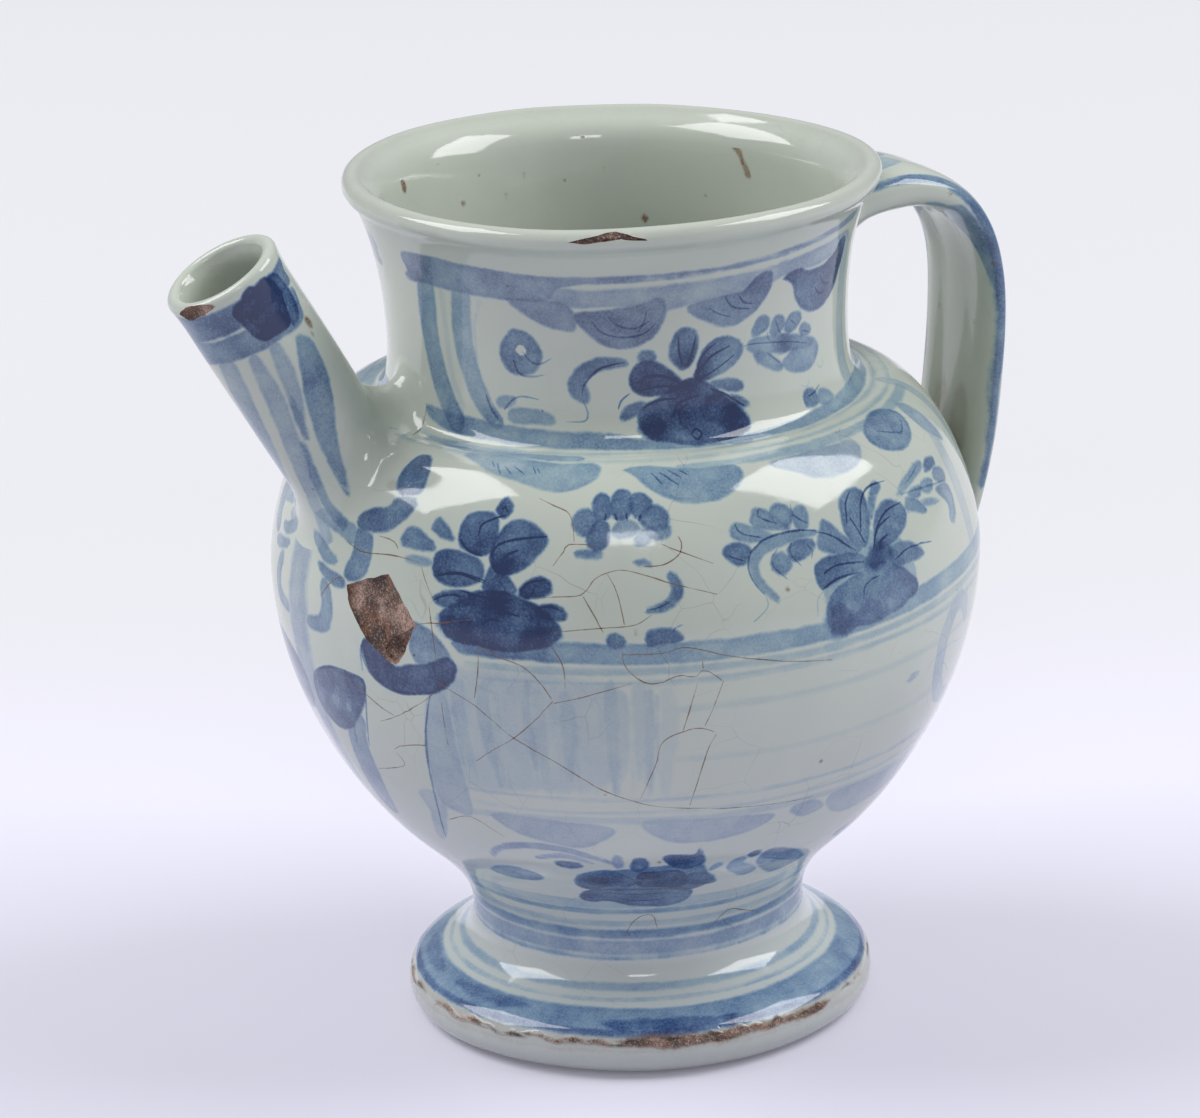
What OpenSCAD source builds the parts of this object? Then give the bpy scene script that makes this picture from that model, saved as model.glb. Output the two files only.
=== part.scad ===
// Wet drug jar of tin-glazed earthenware.
// A round jar on a spreading foot, with a wide everted neck, a slanting tubular spout
// that rises from the shoulder and a strap handle opposite it.
// The foot, body, neck, spout and handle are made apart and luted together with slip.
// Millimetres. +Z is up, the spout points to -X, the handle to +X, and the table is z = 0.

/* [Foot] */
// Height of the foot, from the table to its joint with the body
foot_h = 24; // [20:1:30]
// Radius of the foot at its widest
foot_r = 54.4; // [50:0.1:60]
// Height of the widest part of the foot above the table
foot_edge_z = 7.5; // [5:0.5:9]
// Outer radius of the standing ring
foot_base_r = 47.5; // [45:0.1:52]
// Width of the standing ring
foot_ring_w = 7; // [5:0.5:10]
// Wall of the foot at the waist
foot_wall = 7; // [5:0.5:10]
// Radius of the waist, where foot and body meet
waist_r = 38.7; // [35:0.1:42]
// Radius of the foot where its rounded edge turns into the cove
cove_r = 45; // [43:0.1:48]
// Height of that turn above the table
cove_z = 14.5; // [13:0.5:17]
// Slope of the foot's side at that turn, from level
cove_slope = 35; // [25:1:45]

/* [Body] */
// Height of the body, from the waist to the base of the neck
body_h = 125; // [116:1:136]
// Radius of the belly at its widest
belly_r = 81.2; // [72:0.1:92]
// Height of the widest part of the belly above the waist
belly_rise = 86; // [78:1:94]
// Radius at which the bowl springs from the waist
bowl_r = 53.7; // [50:0.1:57]
// Height of that spring above the waist
bowl_rise = 23.4; // [20:0.1:28]
// Slope of the bowl's side at the spring, from level
bowl_slope = 44; // [38:1:50]
// Wall of the belly
body_wall = 6; // [4:0.5:9]
// Thickness of the body's floor
floor_t = 10; // [7:0.5:14]

/* [Neck] */
// Height of the neck, from the shoulder to the top of the lip
neck_h = 51; // [44:1:60]
// Outer radius of the joint between neck and shoulder
joint_r = 57.7; // [55:0.1:61]
// Width of that joint's flat seat
seat_w = 6.5; // [4:0.5:9]
// Outer radius of the throat, the narrowest part of the neck
throat_r = 52.2; // [48:0.1:55]
// Height of the throat above the joint
throat_rise = 13; // [10:0.5:17]
// Wall of the neck
neck_wall = 4; // [3:0.5:6]
// Outer radius of the lip
lip_r = 60.5; // [57:0.1:68]
// Radius of the rolled lip
lip_roll = 2.5; // [1.8:0.1:3.2]

/* [Spout] */
// Lean of the spout from upright
spout_tilt = 29; // [22:1:36]
// Length of the spout, from the shoulder to its mouth
spout_len = 53; // [44:0.5:64]
// Outer radius of the spout
spout_r = 13; // [11.5:0.1:15]
// Radius of the round seat for a stopper
stopper_r = 9.6; // [8.5:0.1:10.4]
// Length of that seat
stopper_len = 22; // [14:1:28]
// Radius of the passage from the body into the spout
passage_r = 8; // [6:0.1:8.4]
// Length over which the seat narrows to the passage
taper_len = 8; // [4:0.5:12]
// Rounding of the spout's lip
spout_lip = 1.7; // [0.8:0.1:2.2]
// Flare of the spout's lip past its side
lip_flare = 0.7; // [0:0.1:1.5]
// Length over which the spout's lip flares
flare_len = 9; // [5:0.5:14]
// Distance from the neck joint out to the spout's axis, along the shoulder
spout_out = 11.65; // [10:0.05:14]
// Drop from the neck joint to the point where the axis meets the shoulder
spout_drop = 6; // [4.5:0.1:8]
// Length of the clay web that fills the fork between spout and neck
web_len = 13; // [9:0.5:18]
// Length of the spread at the root's flanks
flank_len = 9; // [6:0.5:14]
// Length of the spread at the lower side of the root
heel_len = 12.5; // [6:0.5:18]

/* [Handle] */
// Width of the strap
strap_w = 34; // [26:0.5:42]
// Thickness of the strap along its length
strap_t = 5.5; // [4:0.25:8]
// Thickness of the strap where it leaves the neck
strap_root_t = 10.5; // [7:0.25:13]
// Drop from the top of the lip to the middle of the strap's upper root
root_drop = 17; // [14:0.5:22]
// How far the middle of the strap stands out past the belly
strap_stand = 9.1; // [6:0.1:16]
// Drop from the top of the lip to the strap's outermost point
strap_drop = 42; // [36:1:50]
// Drop from the widest part of the belly to the strap's lower end
tail_drop = 24; // [16:0.5:30]
// Depth of the long grooves in the strap's inner face
groove_d = 0.8; // [0.2:0.1:1.4]
// Number of those grooves
groove_n = 3; // [2:1:4]

/* [Hidden] */
$fn = 96;

// Steps along each curve of a profile
curve_n = 14;
// Rings and sides of the spout's outside, and the rings at its rounded lip
lip_rings = 4;
spout_rings = 30;
spout_sides = 40;
// Rings and sides of the strap
strap_rings = 40;
strap_sides = 28;
// Reach of a cut past the face that it opens
past = 1;

waist_z = foot_h;
belly_z = waist_z + belly_rise;
joint_z = waist_z + body_h;
throat_z = joint_z + throat_rise;
top_z = joint_z + neck_h;
floor_z = waist_z + floor_t;
mouth_r = joint_r - seat_w;

glaze = [0.68, 0.71, 0.68];
glaze_foot = [0.55, 0.60, 0.64];
glaze_spout = [0.60, 0.64, 0.66];
glaze_handle = [0.62, 0.65, 0.65];

// Points of a cubic curve from a to d, pulled towards b and c
function curve(a, b, c, d, n = curve_n) = [for (i = [0 : n]) curve_at(a, b, c, d, i / n)];
function curve_at(a, b, c, d, t) =
    let (u = 1 - t) a * u * u * u + 3 * b * u * u * t + 3 * c * u * t * t + d * t * t * t;
// A list without its first item, for a curve that carries on from another
function rest(list) = [for (i = [1 : len(list) - 1]) list[i]];
// Number held between 0 and 1
function clamp01(x) = max(0, min(1, x));
// Square of x past 0, and 0 before that
function square_past(x) = x > 0 ? x * x : 0;
// A spread that starts softly at x = 0 and tends to the slope given
function spread(x, slope, ease) = slope * square_past(x) / (abs(x) + ease);
// Power that keeps the sign of its base
function signed_pow(x, p) = sign(x) * pow(abs(x), p);

// Foot

// Lead of the curves round the foot's edge, into and out of the cove and up to the waist
sole_lift = 1;
edge_under = 6;
edge_swell = 3.5;
cove_in = 4;
cove_out = 3.5;
waist_run = 5;
foot_hollow_run = 9;
foot_hollow_rise = 10;

// Step of a length up a slope, given from level, and the same step towards the axis
function slope_step(length, slope) = length * [cos(slope), sin(slope)];
function leftward(step) = [-step.x, step.y];

function foot_outside() =
    let (turn = [cove_r, cove_z])
    concat(
        curve([foot_base_r, 0], [foot_r, sole_lift], [foot_r, edge_under], [foot_r, foot_edge_z]),
        rest(curve([foot_r, foot_edge_z], [foot_r, foot_edge_z + edge_swell],
                   turn - leftward(slope_step(cove_in, cove_slope)), turn)),
        rest(curve(turn, turn + leftward(slope_step(cove_out, cove_slope)),
                   [waist_r, foot_h - waist_run], [waist_r, foot_h])));

function foot_inside() =
    let (ring = foot_base_r - foot_ring_w, bore = waist_r - foot_wall)
    curve([bore, foot_h], [bore, foot_h - foot_hollow_run], [ring, foot_hollow_rise], [ring, 0]);

// Hollow spreading foot: a flat standing ring below, and the body's seat above
module foot() {
    color(glaze_foot)
    rotate_extrude()
    polygon(concat(foot_outside(), foot_inside()));
}

// Body

// Lead of the curves into and out of the bowl's spring, and round the belly
waist_lead = 11;
spring_in = 9.2;
spring_out = 16;
belly_lead = 28;
shoulder_lead = 9.7;
shoulder_out = 16.6;
shoulder_drop = 0.3;

function body_outside() =
    let (spring = [bowl_r, waist_z + bowl_rise])
    concat(
        curve([waist_r, waist_z], [waist_r, waist_z + waist_lead],
              spring - slope_step(spring_in, bowl_slope), spring),
        rest(curve(spring, spring + slope_step(spring_out, bowl_slope),
                   [belly_r, belly_z - belly_lead], [belly_r, belly_z])),
        rest(curve([belly_r, belly_z], [belly_r, belly_z + shoulder_lead],
                   [joint_r + shoulder_out, joint_z - shoulder_drop], [joint_r, joint_z])));

// Flat middle of the floor, and the curves from it up to the mouth under the neck
floor_flat_r = 16;
floor_lead = 22;
hollow_lead = 35;
hollow_shoulder = 14;
hollow_out = 14;
hollow_drop = 7;

function body_inside() =
    let (inner_r = belly_r - body_wall)
    concat(
        curve([mouth_r, joint_z], [mouth_r + hollow_out, joint_z - hollow_drop],
              [inner_r, belly_z + hollow_shoulder], [inner_r, belly_z]),
        rest(curve([inner_r, belly_z], [inner_r, belly_z - hollow_lead],
                   [floor_flat_r + floor_lead, floor_z], [floor_flat_r, floor_z])),
        [[0, floor_z]]);

// The body without its hollow: what the spout and the handle are fitted to
module body_form() {
    rotate_extrude()
    polygon(concat([[0, waist_z]], body_outside(), [[0, joint_z]]));
}

// Round body, open at the neck, with the passage to the spout through its shoulder
module body() {
    color(glaze)
    difference() {
        rotate_extrude()
        polygon(concat([[0, waist_z]], body_outside(), body_inside()));
        at_spout_mouth() spout_bore();
    }
}

// Neck

// Lead of the curves from the joint to the throat and out to the lip
joint_in = 3.5;
joint_lead = 0.6;
throat_lead = 9;
flare_lead = 14;
flare_out = 2.3;
flare_drop = 13;
lip_under = 6;
// The same inside the neck
lip_in = 3.3;
inner_flare_lead = 18;
inner_joint_lead = 5;
// Part of a circle that the rolled lip turns through
lip_from = -65;
lip_to = 150;
lip_steps = 14;

lip_centre = [lip_r - lip_roll, top_z - lip_roll];

function lip() = [
    for (i = [0 : lip_steps])
    let (a = lip_from + (lip_to - lip_from) * i / lip_steps)
    lip_centre + lip_roll * [cos(a), sin(a)]];

function neck_outside() = concat(
    curve([joint_r, joint_z], [joint_r - joint_in, joint_z + joint_lead],
          [throat_r, throat_z - throat_lead], [throat_r, throat_z]),
    rest(curve([throat_r, throat_z], [throat_r, throat_z + flare_lead],
               [throat_r + flare_out, top_z - flare_drop],
               [lip_r - lip_roll, top_z - lip_under])),
    lip());

function neck_inside() =
    let (inner_r = throat_r - neck_wall, edge = lip_centre + lip_roll * [cos(lip_to), sin(lip_to)])
    concat(
        rest(curve(edge, edge - [lip_in, lip_under],
                   [inner_r, throat_z + inner_flare_lead], [inner_r, throat_z])),
        rest(curve([inner_r, throat_z], [inner_r, throat_z - throat_lead],
                   [inner_r, joint_z + inner_joint_lead], [mouth_r, joint_z])));

// The neck without its hollow
module neck_form() {
    rotate_extrude()
    polygon(concat([[0, joint_z]], neck_outside(), [[0, top_z]]));
}

// Wide neck with a rolled everted lip, on its flat seat at the shoulder
module neck() {
    color(glaze)
    rotate_extrude()
    polygon(concat(neck_outside(), neck_inside()));
}

// Spout

// Length of the spout inside the body's outline, cut away to the shape of the shoulder
spout_tail = 18;
// Reach of the passage's cut below the shoulder along the spout's axis
passage_reach = 26;
// Slope of the root's spread on the neck's side, the flanks and the lower side
web_slope = 2.2;
flank_slope = 0.8;
heel_slope = 0.28;
// Length over which each spread takes on its slope
web_ease = 3;
root_ease = 5;
// Most that the root grows on the neck's side
web_most = 24;
// Powers that narrow the web and the heel round the spout
web_power = 4;
heel_power = 2;
// Depth and extra radius of the eased edge where the bore opens
bore_ease = 1.2;

spout_axis_r = joint_r + spout_out;
spout_axis_z = joint_z - spout_drop;

// Places a shape drawn about +Z, with the mouth at its origin, on the spout's axis
module at_spout_mouth() {
    translate([-spout_axis_r, 0, spout_axis_z])
    rotate([0, -spout_tilt, 0])
    translate([0, 0, spout_len])
    children();
}

// Cut for the bore: an eased edge, the stopper's seat, a taper and the passage into the body
module spout_bore() {
    seat_end = bore_ease + stopper_len;
    rotate_extrude()
    polygon([
        [0, past], [stopper_r + bore_ease, past], [stopper_r + bore_ease, 0],
        [stopper_r, -bore_ease], [stopper_r, -seat_end],
        [passage_r, -seat_end - taper_len], [passage_r, -spout_len - passage_reach],
        [0, -spout_len - passage_reach]]);
}

// Radius of the spout's outside at a depth below its mouth and an angle from the neck's side
function spout_radius(depth, angle) =
    let (web = min(web_most, spread(depth - (spout_len - web_len), web_slope, web_ease)),
         flank = spread(depth - (spout_len - flank_len), flank_slope, root_ease),
         heel = spread(depth - (spout_len - heel_len), heel_slope, root_ease),
         rounding = depth < spout_lip
             ? spout_lip - sqrt(spout_lip * spout_lip - pow(spout_lip - depth, 2)) : 0,
         flare = lip_flare * square_past(1 - depth / flare_len),
         inward = pow(max(0, cos(angle)), web_power),
         outward = pow(max(0, -cos(angle)), heel_power))
    spout_r + flare - rounding + flank + (web - flank) * inward + (heel - flank) * outward;

// Depth of each ring: close together at the rounded lip, even below it
function spout_depth(i) = i < lip_rings
    ? spout_lip * (1 - cos(90 * i / lip_rings))
    : spout_lip + (spout_len + spout_tail - spout_lip) * (i - lip_rings) / (spout_rings - 1 - lip_rings);

// Skin of a tube from its rings of points, each with the same number of sides
module tube(rings, sides) {
    last = len(rings) - 1;
    polyhedron(
        points = [for (ring = rings) for (p = ring) p],
        faces = concat(
            [for (k = [0 : last - 1]) for (j = [0 : sides - 1])
                [k * sides + j, (k + 1) * sides + j, k * sides + (j + 1) % sides]],
            [for (k = [0 : last - 1]) for (j = [0 : sides - 1])
                [k * sides + (j + 1) % sides, (k + 1) * sides + j, (k + 1) * sides + (j + 1) % sides]],
            [[for (j = [0 : sides - 1]) j]],
            [[for (j = [sides - 1 : -1 : 0]) last * sides + j]]));
}

// Slanting spout: its root spreads and is fitted to shoulder and neck, and its mouth takes a stopper
module spout() {
    color(glaze_spout)
    difference() {
        at_spout_mouth()
        tube([for (i = [0 : spout_rings - 1])
                [for (j = [0 : spout_sides - 1])
                    let (angle = -360 * j / spout_sides, depth = spout_depth(i),
                         r = spout_radius(depth, angle))
                    [r * cos(angle), r * sin(angle), -depth]]],
             spout_sides);
        body_form();
        neck_form();
        at_spout_mouth() spout_bore();
    }
}

// Handle

// Depth to which the strap's ends run into the neck and the belly, and are cut away
root_in = 4;
tail_in = 1.7;
// Rise and run of the curves that carry the strap from the neck over to its outermost point
arch_rise = 7.5;
arch_run = 14;
arch_top = 10;
side_lead = 15;
tail_lead = 30;
tail_out = 5.4;
// Extra width and depth of the strap's root on the neck, and the share of the arch it takes
root_flare_w = 4;
root_flare_t = 8;
root_share = 0.4;
// Places along the strap where its thickness starts and ends the change from root to side
thin_from = 0.3;
thin_to = 0.9;
// Place along the strap where it starts to thin towards its lower end, and the share left there
tail_from = 1.4;
tail_share = 0.6;
// Roundness of the strap's section across its width and through its thickness
edge_round = 0.55;
face_round = 0.75;
// Power that fades the grooves out at the strap's edges
groove_power = 4;
// Step along the strap for the direction of its middle line
strap_step = 0.001;

strap_x = belly_r + strap_stand;
strap_z = top_z - strap_drop;

// Middle line of the strap in its plane: the arch for t from 0 to 1, the fall for t from 1 to 2
function strap_at(t) = t < 1
    ? curve_at([throat_r - root_in, top_z - root_drop],
               [throat_r + arch_run, top_z - root_drop + arch_rise],
               [strap_x, top_z - arch_top], [strap_x, strap_z], t)
    : curve_at([strap_x, strap_z], [strap_x, strap_z - side_lead],
               [belly_r + tail_out, belly_z - tail_drop + tail_lead],
               [belly_r - tail_in, belly_z - tail_drop], t - 1);

function strap_along(t) = strap_at(t + strap_step) - strap_at(t - strap_step);

function strap_thick(t) =
    strap_root_t + (strap_t - strap_root_t) * clamp01((t - thin_from) / (thin_to - thin_from))
    - strap_t * (1 - tail_share) * square_past((t - tail_from) / (2 - tail_from));

// Point of the strap's section at angle a, across the width and through the thickness
function strap_point(t, a) =
    let (root = square_past((root_share - t) / root_share),
         across = (strap_w / 2 + root_flare_w / 2 * root) * signed_pow(cos(a), edge_round),
         groove = groove_d * (1 - cos(360 * groove_n * across / strap_w)) / 2,
         edge = 1 - pow(abs(2 * across / (strap_w + root_flare_w * root)), groove_power),
         outer = strap_thick(t) / 2 * signed_pow(sin(a), face_round),
         under = sin(a) < 0 ? groove * edge - root_flare_t * root * -sin(a) : 0,
         dir = strap_along(t) / norm(strap_along(t)),
         through = outer + under,
         mid = strap_at(t))
    [mid.x - dir.y * through, across, mid.y + dir.x * through];

// Pulled strap handle, from under the lip down to the belly, with grooves along its inner face
module handle() {
    color(glaze_handle)
    difference() {
        tube([for (i = [0 : strap_rings - 1])
                [for (j = [0 : strap_sides - 1])
                    strap_point(2 * i / (strap_rings - 1), 360 * j / strap_sides)]],
             strap_sides);
        body_form();
        neck_form();
    }
}

foot();
body();
neck();
spout();
handle();
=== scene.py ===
"""Wet drug jar of tin-glazed earthenware: foot, body, neck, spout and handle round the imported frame."""
import math

import bmesh
import bpy
import numpy as np
from mathutils import Matrix, Vector


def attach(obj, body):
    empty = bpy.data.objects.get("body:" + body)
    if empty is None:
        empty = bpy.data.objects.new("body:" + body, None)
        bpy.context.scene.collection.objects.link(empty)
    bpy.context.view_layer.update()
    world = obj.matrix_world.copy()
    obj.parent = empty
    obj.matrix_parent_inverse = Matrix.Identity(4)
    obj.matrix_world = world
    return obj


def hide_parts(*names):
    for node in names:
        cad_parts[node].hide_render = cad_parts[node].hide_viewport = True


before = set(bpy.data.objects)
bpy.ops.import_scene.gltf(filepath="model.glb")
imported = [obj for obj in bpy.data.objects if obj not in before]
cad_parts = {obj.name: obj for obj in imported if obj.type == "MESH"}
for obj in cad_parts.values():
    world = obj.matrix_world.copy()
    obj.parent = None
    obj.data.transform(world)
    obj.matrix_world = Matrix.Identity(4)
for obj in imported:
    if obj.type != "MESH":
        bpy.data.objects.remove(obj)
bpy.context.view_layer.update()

bl_info = {
    "name": "Wet drug jar",
    "version": (1, 0, 0),
    "blender": (4, 5, 0),
    "location": "3D view > Sidebar > Drug jar",
    "description": "Models a painted tin-glazed drug jar with a spout and a strap handle",
    "category": "Object",
}

# Profiles are drawn in millimetres and placed in metres
MM = 0.001
# Steps of the spin round the jar, and the length of a step along its outsides and its insides
ROUND_STEPS = 360
FOOT_STEP, OUTSIDE_STEP, NECK_INSIDE_STEP, INSIDE_STEP = 0.8, 1.2, 2, 2.5
# How many points are measured against a line at once
BATCH = 4000
# Degrees from the jar's front to the camera
VIEW_TURN = -25
# Size of the unevenness of hand-shaped clay and how far it goes, in metres
WOBBLE_SIZE, WOBBLE = 0.05, 0.0009
# How the lip went out of round: how far and above which height in millimetres, and towards which degrees
SAG, SAG_FROM, SAG_RUN, SAG_TURN = 3.2, 165, 35, 159
# Edges sharper than this stay sharp, in degrees
SHARP = 40


# Sizes and colours

def length(name, description, value):
    """A property for a length in metres, given in millimetres."""
    return bpy.props.FloatProperty(name=name, description=description, default=value * MM,
                                   unit="LENGTH", precision=4)


def colour(name, description, value):
    """A property for a colour, given as screen values from 0 to 255."""
    return bpy.props.FloatVectorProperty(name=name, description=description, subtype="COLOR", size=3,
                                         min=0, max=1, default=[linear(v / 255) for v in value])


def linear(v):
    """A screen value from 0 to 1 as the linear value that a shader takes."""
    return v / 12.92 if v <= 0.04045 else ((v + 0.055) / 1.055) ** 2.4


class JarSizes(bpy.types.PropertyGroup):
    """Sizes of the thrown pieces."""
    foot_height: length("Foot height", "From the table to the waist", 24)
    foot_radius: length("Foot radius", "Widest part of the foot", 54.4)
    foot_base: length("Foot base", "Outer radius of the standing ring", 47.5)
    waist_radius: length("Waist radius", "Where foot and body meet", 38.7)
    belly_radius: length("Belly radius", "Widest part of the body", 81.2)
    belly_height: length("Belly height", "Height of the widest part above the table", 110)
    joint_radius: length("Joint radius", "Where neck and shoulder meet", 57.7)
    joint_height: length("Joint height", "Height of that joint above the table", 149)
    throat_radius: length("Throat radius", "Narrowest part of the neck", 52.2)
    throat_height: length("Throat height", "Height of the throat above the table", 162)
    lip_radius: length("Lip radius", "Outside of the rolled lip", 60.5)
    top_height: length("Top height", "Top of the lip above the table", 200)
    body_wall: length("Body wall", "Wall of the belly", 6)
    neck_wall: length("Neck wall", "Wall of the neck", 4)


class SpoutSizes(bpy.types.PropertyGroup):
    """Sizes of the spout."""
    radius: length("Radius", "Outside of the tube", 13)
    bore: length("Bore", "Radius of the stopper's seat", 9.6)
    passage: length("Passage", "Radius of the way into the body", 8)
    tube_length: length("Length", "From the shoulder to the mouth along the axis", 53)
    out: length("Distance out", "From the jar's axis to where the spout's axis meets the shoulder", 69.35)
    height: length("Height", "Height of that point above the table", 143)
    web: length("Web", "Fillet radius in the fork with the neck", 6.4)
    flank: length("Flank", "Fillet radius at the sides of the root", 8)
    heel: length("Heel", "Fillet radius at the lower side of the root", 20)
    tilt: bpy.props.FloatProperty(name="Tilt", description="Lean from upright", subtype="ANGLE",
                                  default=math.radians(29))


class HandleSizes(bpy.types.PropertyGroup):
    """Sizes of the strap handle."""
    width: length("Width", "Across the strap", 34)
    thickness: length("Thickness", "Through the strap along its side", 5.5)
    root_thickness: length("Root thickness", "Through the strap at the neck", 10.5)
    stand: length("Stand", "How far the strap's middle stands out past the belly", 9.1)
    groove: length("Groove", "Depth of the grooves on the inner face", 0.8)


class JarColours(bpy.types.PropertyGroup):
    """Colours of the glaze, the bare clay and the stage."""
    glaze: colour("Glaze", "Tin glaze, pale grey with a touch of green", (187, 194, 183))
    clay: colour("Clay", "Bare clay where the glaze is lost", (112, 92, 82))
    floor: colour("Floor", "Floor in front of the jar", (208, 206, 219))
    far_floor: colour("Far floor", "Floor behind the jar", (212, 211, 216))
    backdrop: colour("Backdrop", "Paper behind the jar", (240, 239, 245))


def in_mm(sizes):
    """The lengths of a group in millimetres, by name."""
    return {name: getattr(sizes, name) / MM for name in sizes.__annotations__}


# Profiles

def cubic(a, b, c, d, steps=80):
    """Points of a cubic curve from a to d that is pulled towards b and c."""
    t = np.linspace(0, 1, steps + 1)[:, None]
    u = 1 - t
    a, b, c, d = (np.array(p, float) for p in (a, b, c, d))
    return a * u**3 + 3 * b * u * u * t + 3 * c * u * t * t + d * t**3


def up_slope(length_mm, degrees):
    """A step of that length up a slope, as radius and height."""
    a = math.radians(degrees)
    return np.array([length_mm * math.cos(a), length_mm * math.sin(a)])


def even(points, step):
    """The same line with its points the step apart, its ends kept."""
    run = along(points)
    count = max(2, round(run[-1] / step) + 1)
    at = np.linspace(0, run[-1], count)
    return np.stack([np.interp(at, run, points[:, k]) for k in range(points.shape[1])], 1)


def along(points):
    """Length along a line at each of its points."""
    steps = np.linalg.norm(np.diff(points, axis=0), axis=1)
    return np.concatenate([[0], np.cumsum(steps)])


def closest(points, line):
    """Number of the point of a line that is nearest to each of many points."""
    place = np.empty(len(points), int)
    for first in range(0, len(points), BATCH):
        part = points[first:first + BATCH, None]
        place[first:first + BATCH] = ((part - line) ** 2).sum(2).argmin(1)
    return place


class Profile:
    """Outside and inside lines of the thrown pieces in millimetres, as radius and height."""
    # Height of the foot's widest edge, from there to the end of its roll, and where its side turns up
    EDGE_HEIGHT, ROLL_END, TURN = 6.4, (-2.3, 5.0), (44.4, 15.4)
    # Where the body springs from its narrow part: radius and height above the waist
    SPRING = (53.7, 23.4)
    # Slopes of the outside at these three places, in degrees
    ROLL_SLOPE, TURN_SLOPE, SPRING_SLOPE = 42, 34, 44
    # Wall of the foot, width of the neck's seat, radius of the lip's roll and the degrees that it covers
    FOOT_WALL, SEAT, LIP_ROLL, LIP_TURN = 7, 6.5, 2.5, (-65, 150)
    # Radius of the floor's flat middle, and its height above the waist
    FLOOR = (16, 10)
    # Step of the whole outside that pieces are fitted to
    FINE_STEP = 0.25

    def __init__(self, size):
        mm = in_mm(size)
        waist = np.array([mm["waist_radius"], mm["foot_height"]])
        edge = np.array([mm["foot_radius"], self.EDGE_HEIGHT])
        belly = np.array([mm["belly_radius"], mm["belly_height"]])
        joint = np.array([mm["joint_radius"], mm["joint_height"]])
        throat = np.array([mm["throat_radius"], mm["throat_height"]])
        lip_centre = np.array([mm["lip_radius"], mm["top_height"]]) - self.LIP_ROLL
        roll = edge + self.ROLL_END
        roll_slope = up_slope(1, self.ROLL_SLOPE) * [-1, 1]
        turn = np.array(self.TURN)
        turn_slope = up_slope(1, self.TURN_SLOPE) * [-1, 1]
        spring = np.array(self.SPRING) + [0, mm["foot_height"]]
        spring_slope = up_slope(1, self.SPRING_SLOPE)

        self.foot_out = np.vstack([
            cubic([mm["foot_base"], 0], [edge[0], 1], [edge[0], 5], edge),
            cubic(edge, edge + [0, 2.4], roll - 1.8 * roll_slope, roll)[1:],
            cubic(roll, roll + 2.4 * roll_slope, turn - 2.6 * turn_slope, turn)[1:],
            cubic(turn, turn + 3.5 * turn_slope, waist - [0, 5], waist)[1:]])
        ring = mm["foot_base"] - self.FOOT_WALL
        bore = waist[0] - self.FOOT_WALL
        self.foot_in = cubic([bore, waist[1]], [bore, waist[1] - 9], [ring, 10], [ring, 0])

        self.body_out = np.vstack([
            cubic(waist, waist + [0, 11], spring - 9.2 * spring_slope, spring),
            cubic(spring, spring + 16 * spring_slope, belly - [0, 28], belly)[1:],
            cubic(belly, belly + [0, 9.7], joint + [16.6, -0.3], joint)[1:]])
        mouth = joint - [self.SEAT, 0]
        hollow = belly - [mm["body_wall"], 0]
        floor = np.array(self.FLOOR) + [0, mm["foot_height"]]
        self.body_in = np.vstack([
            cubic(mouth, mouth + [14, -7], hollow + [0, 14], hollow),
            cubic(hollow, hollow - [0, 35], floor + [22, 0], floor)[1:]])

        turned = np.radians(np.linspace(*self.LIP_TURN, 40))
        lip = lip_centre + self.LIP_ROLL * np.stack([np.cos(turned), np.sin(turned)], 1)
        under_lip = np.array([lip_centre[0], mm["top_height"] - 6])
        self.neck_out = np.vstack([
            cubic(joint, joint + [-3.5, 0.3], throat - [0, 9], throat),
            cubic(throat, throat + [0, 14], [throat[0] + 2.3, mm["top_height"] - 13], under_lip)[1:],
            lip])
        inner = throat - [mm["neck_wall"], 0]
        flare = np.array([inner[0] + 2.2, mm["top_height"] - 8])
        self.neck_in = np.vstack([
            cubic(lip[-1], lip[-1] - [2.2, 1.3], flare + [0.9, 4.5], flare),
            cubic(flare, flare - [1.4, 7], inner + [0, 12], inner)[1:],
            cubic(inner, inner - [0, 9], [inner[0], joint[1] + 5], mouth)[1:]])

        # The whole outside, with its length counted from the waist, for fitting and painting
        whole = np.vstack([self.foot_out, self.body_out[1:], self.neck_out[1:]])
        self.outside = even(whole, self.FINE_STEP)
        run = along(self.outside)
        at_waist = np.argmin(np.linalg.norm(self.outside - waist, axis=1))
        self.run = run - run[at_waist]
        step = np.gradient(self.outside, axis=0)
        step /= np.linalg.norm(step, axis=1)[:, None]
        self.normal = np.stack([step[:, 1], -step[:, 0]], 1)

    def radius_at(self, up):
        """Radius at a length up the outside."""
        return np.interp(up, self.run, self.outside[:, 0])

    def point(self, degrees, up, out):
        """Points at those degrees round the jar and lengths up its outside, lifted off it."""
        turned = np.radians(degrees)
        radius = self.radius_at(up) + out * np.interp(up, self.run, self.normal[:, 0])
        height = (np.interp(up, self.run, self.outside[:, 1])
                  + out * np.interp(up, self.run, self.normal[:, 1]))
        return np.stack([radius * np.sin(turned), -radius * np.cos(turned), height], 1)

    def near(self, points):
        """Signed distance of points from the outside, the nearest place's number and its normal."""
        radius = np.hypot(points[:, 0], points[:, 1])
        flat = np.stack([radius, points[:, 2]], 1)
        place = closest(flat, self.outside)
        away = ((flat - self.outside[place]) * self.normal[place]).sum(1)
        safe = np.maximum(radius, 1e-6)
        normal = np.stack([self.normal[place, 0] * points[:, 0] / safe,
                           self.normal[place, 0] * points[:, 1] / safe, self.normal[place, 1]], 1)
        return away, place, normal


# Modelling helpers

def deselect():
    """Leaves nothing selected and nothing in edit mode."""
    if bpy.context.object and bpy.context.object.mode != "OBJECT":
        bpy.ops.object.mode_set(mode="OBJECT")
    bpy.ops.object.select_all(action="DESELECT")


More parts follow.
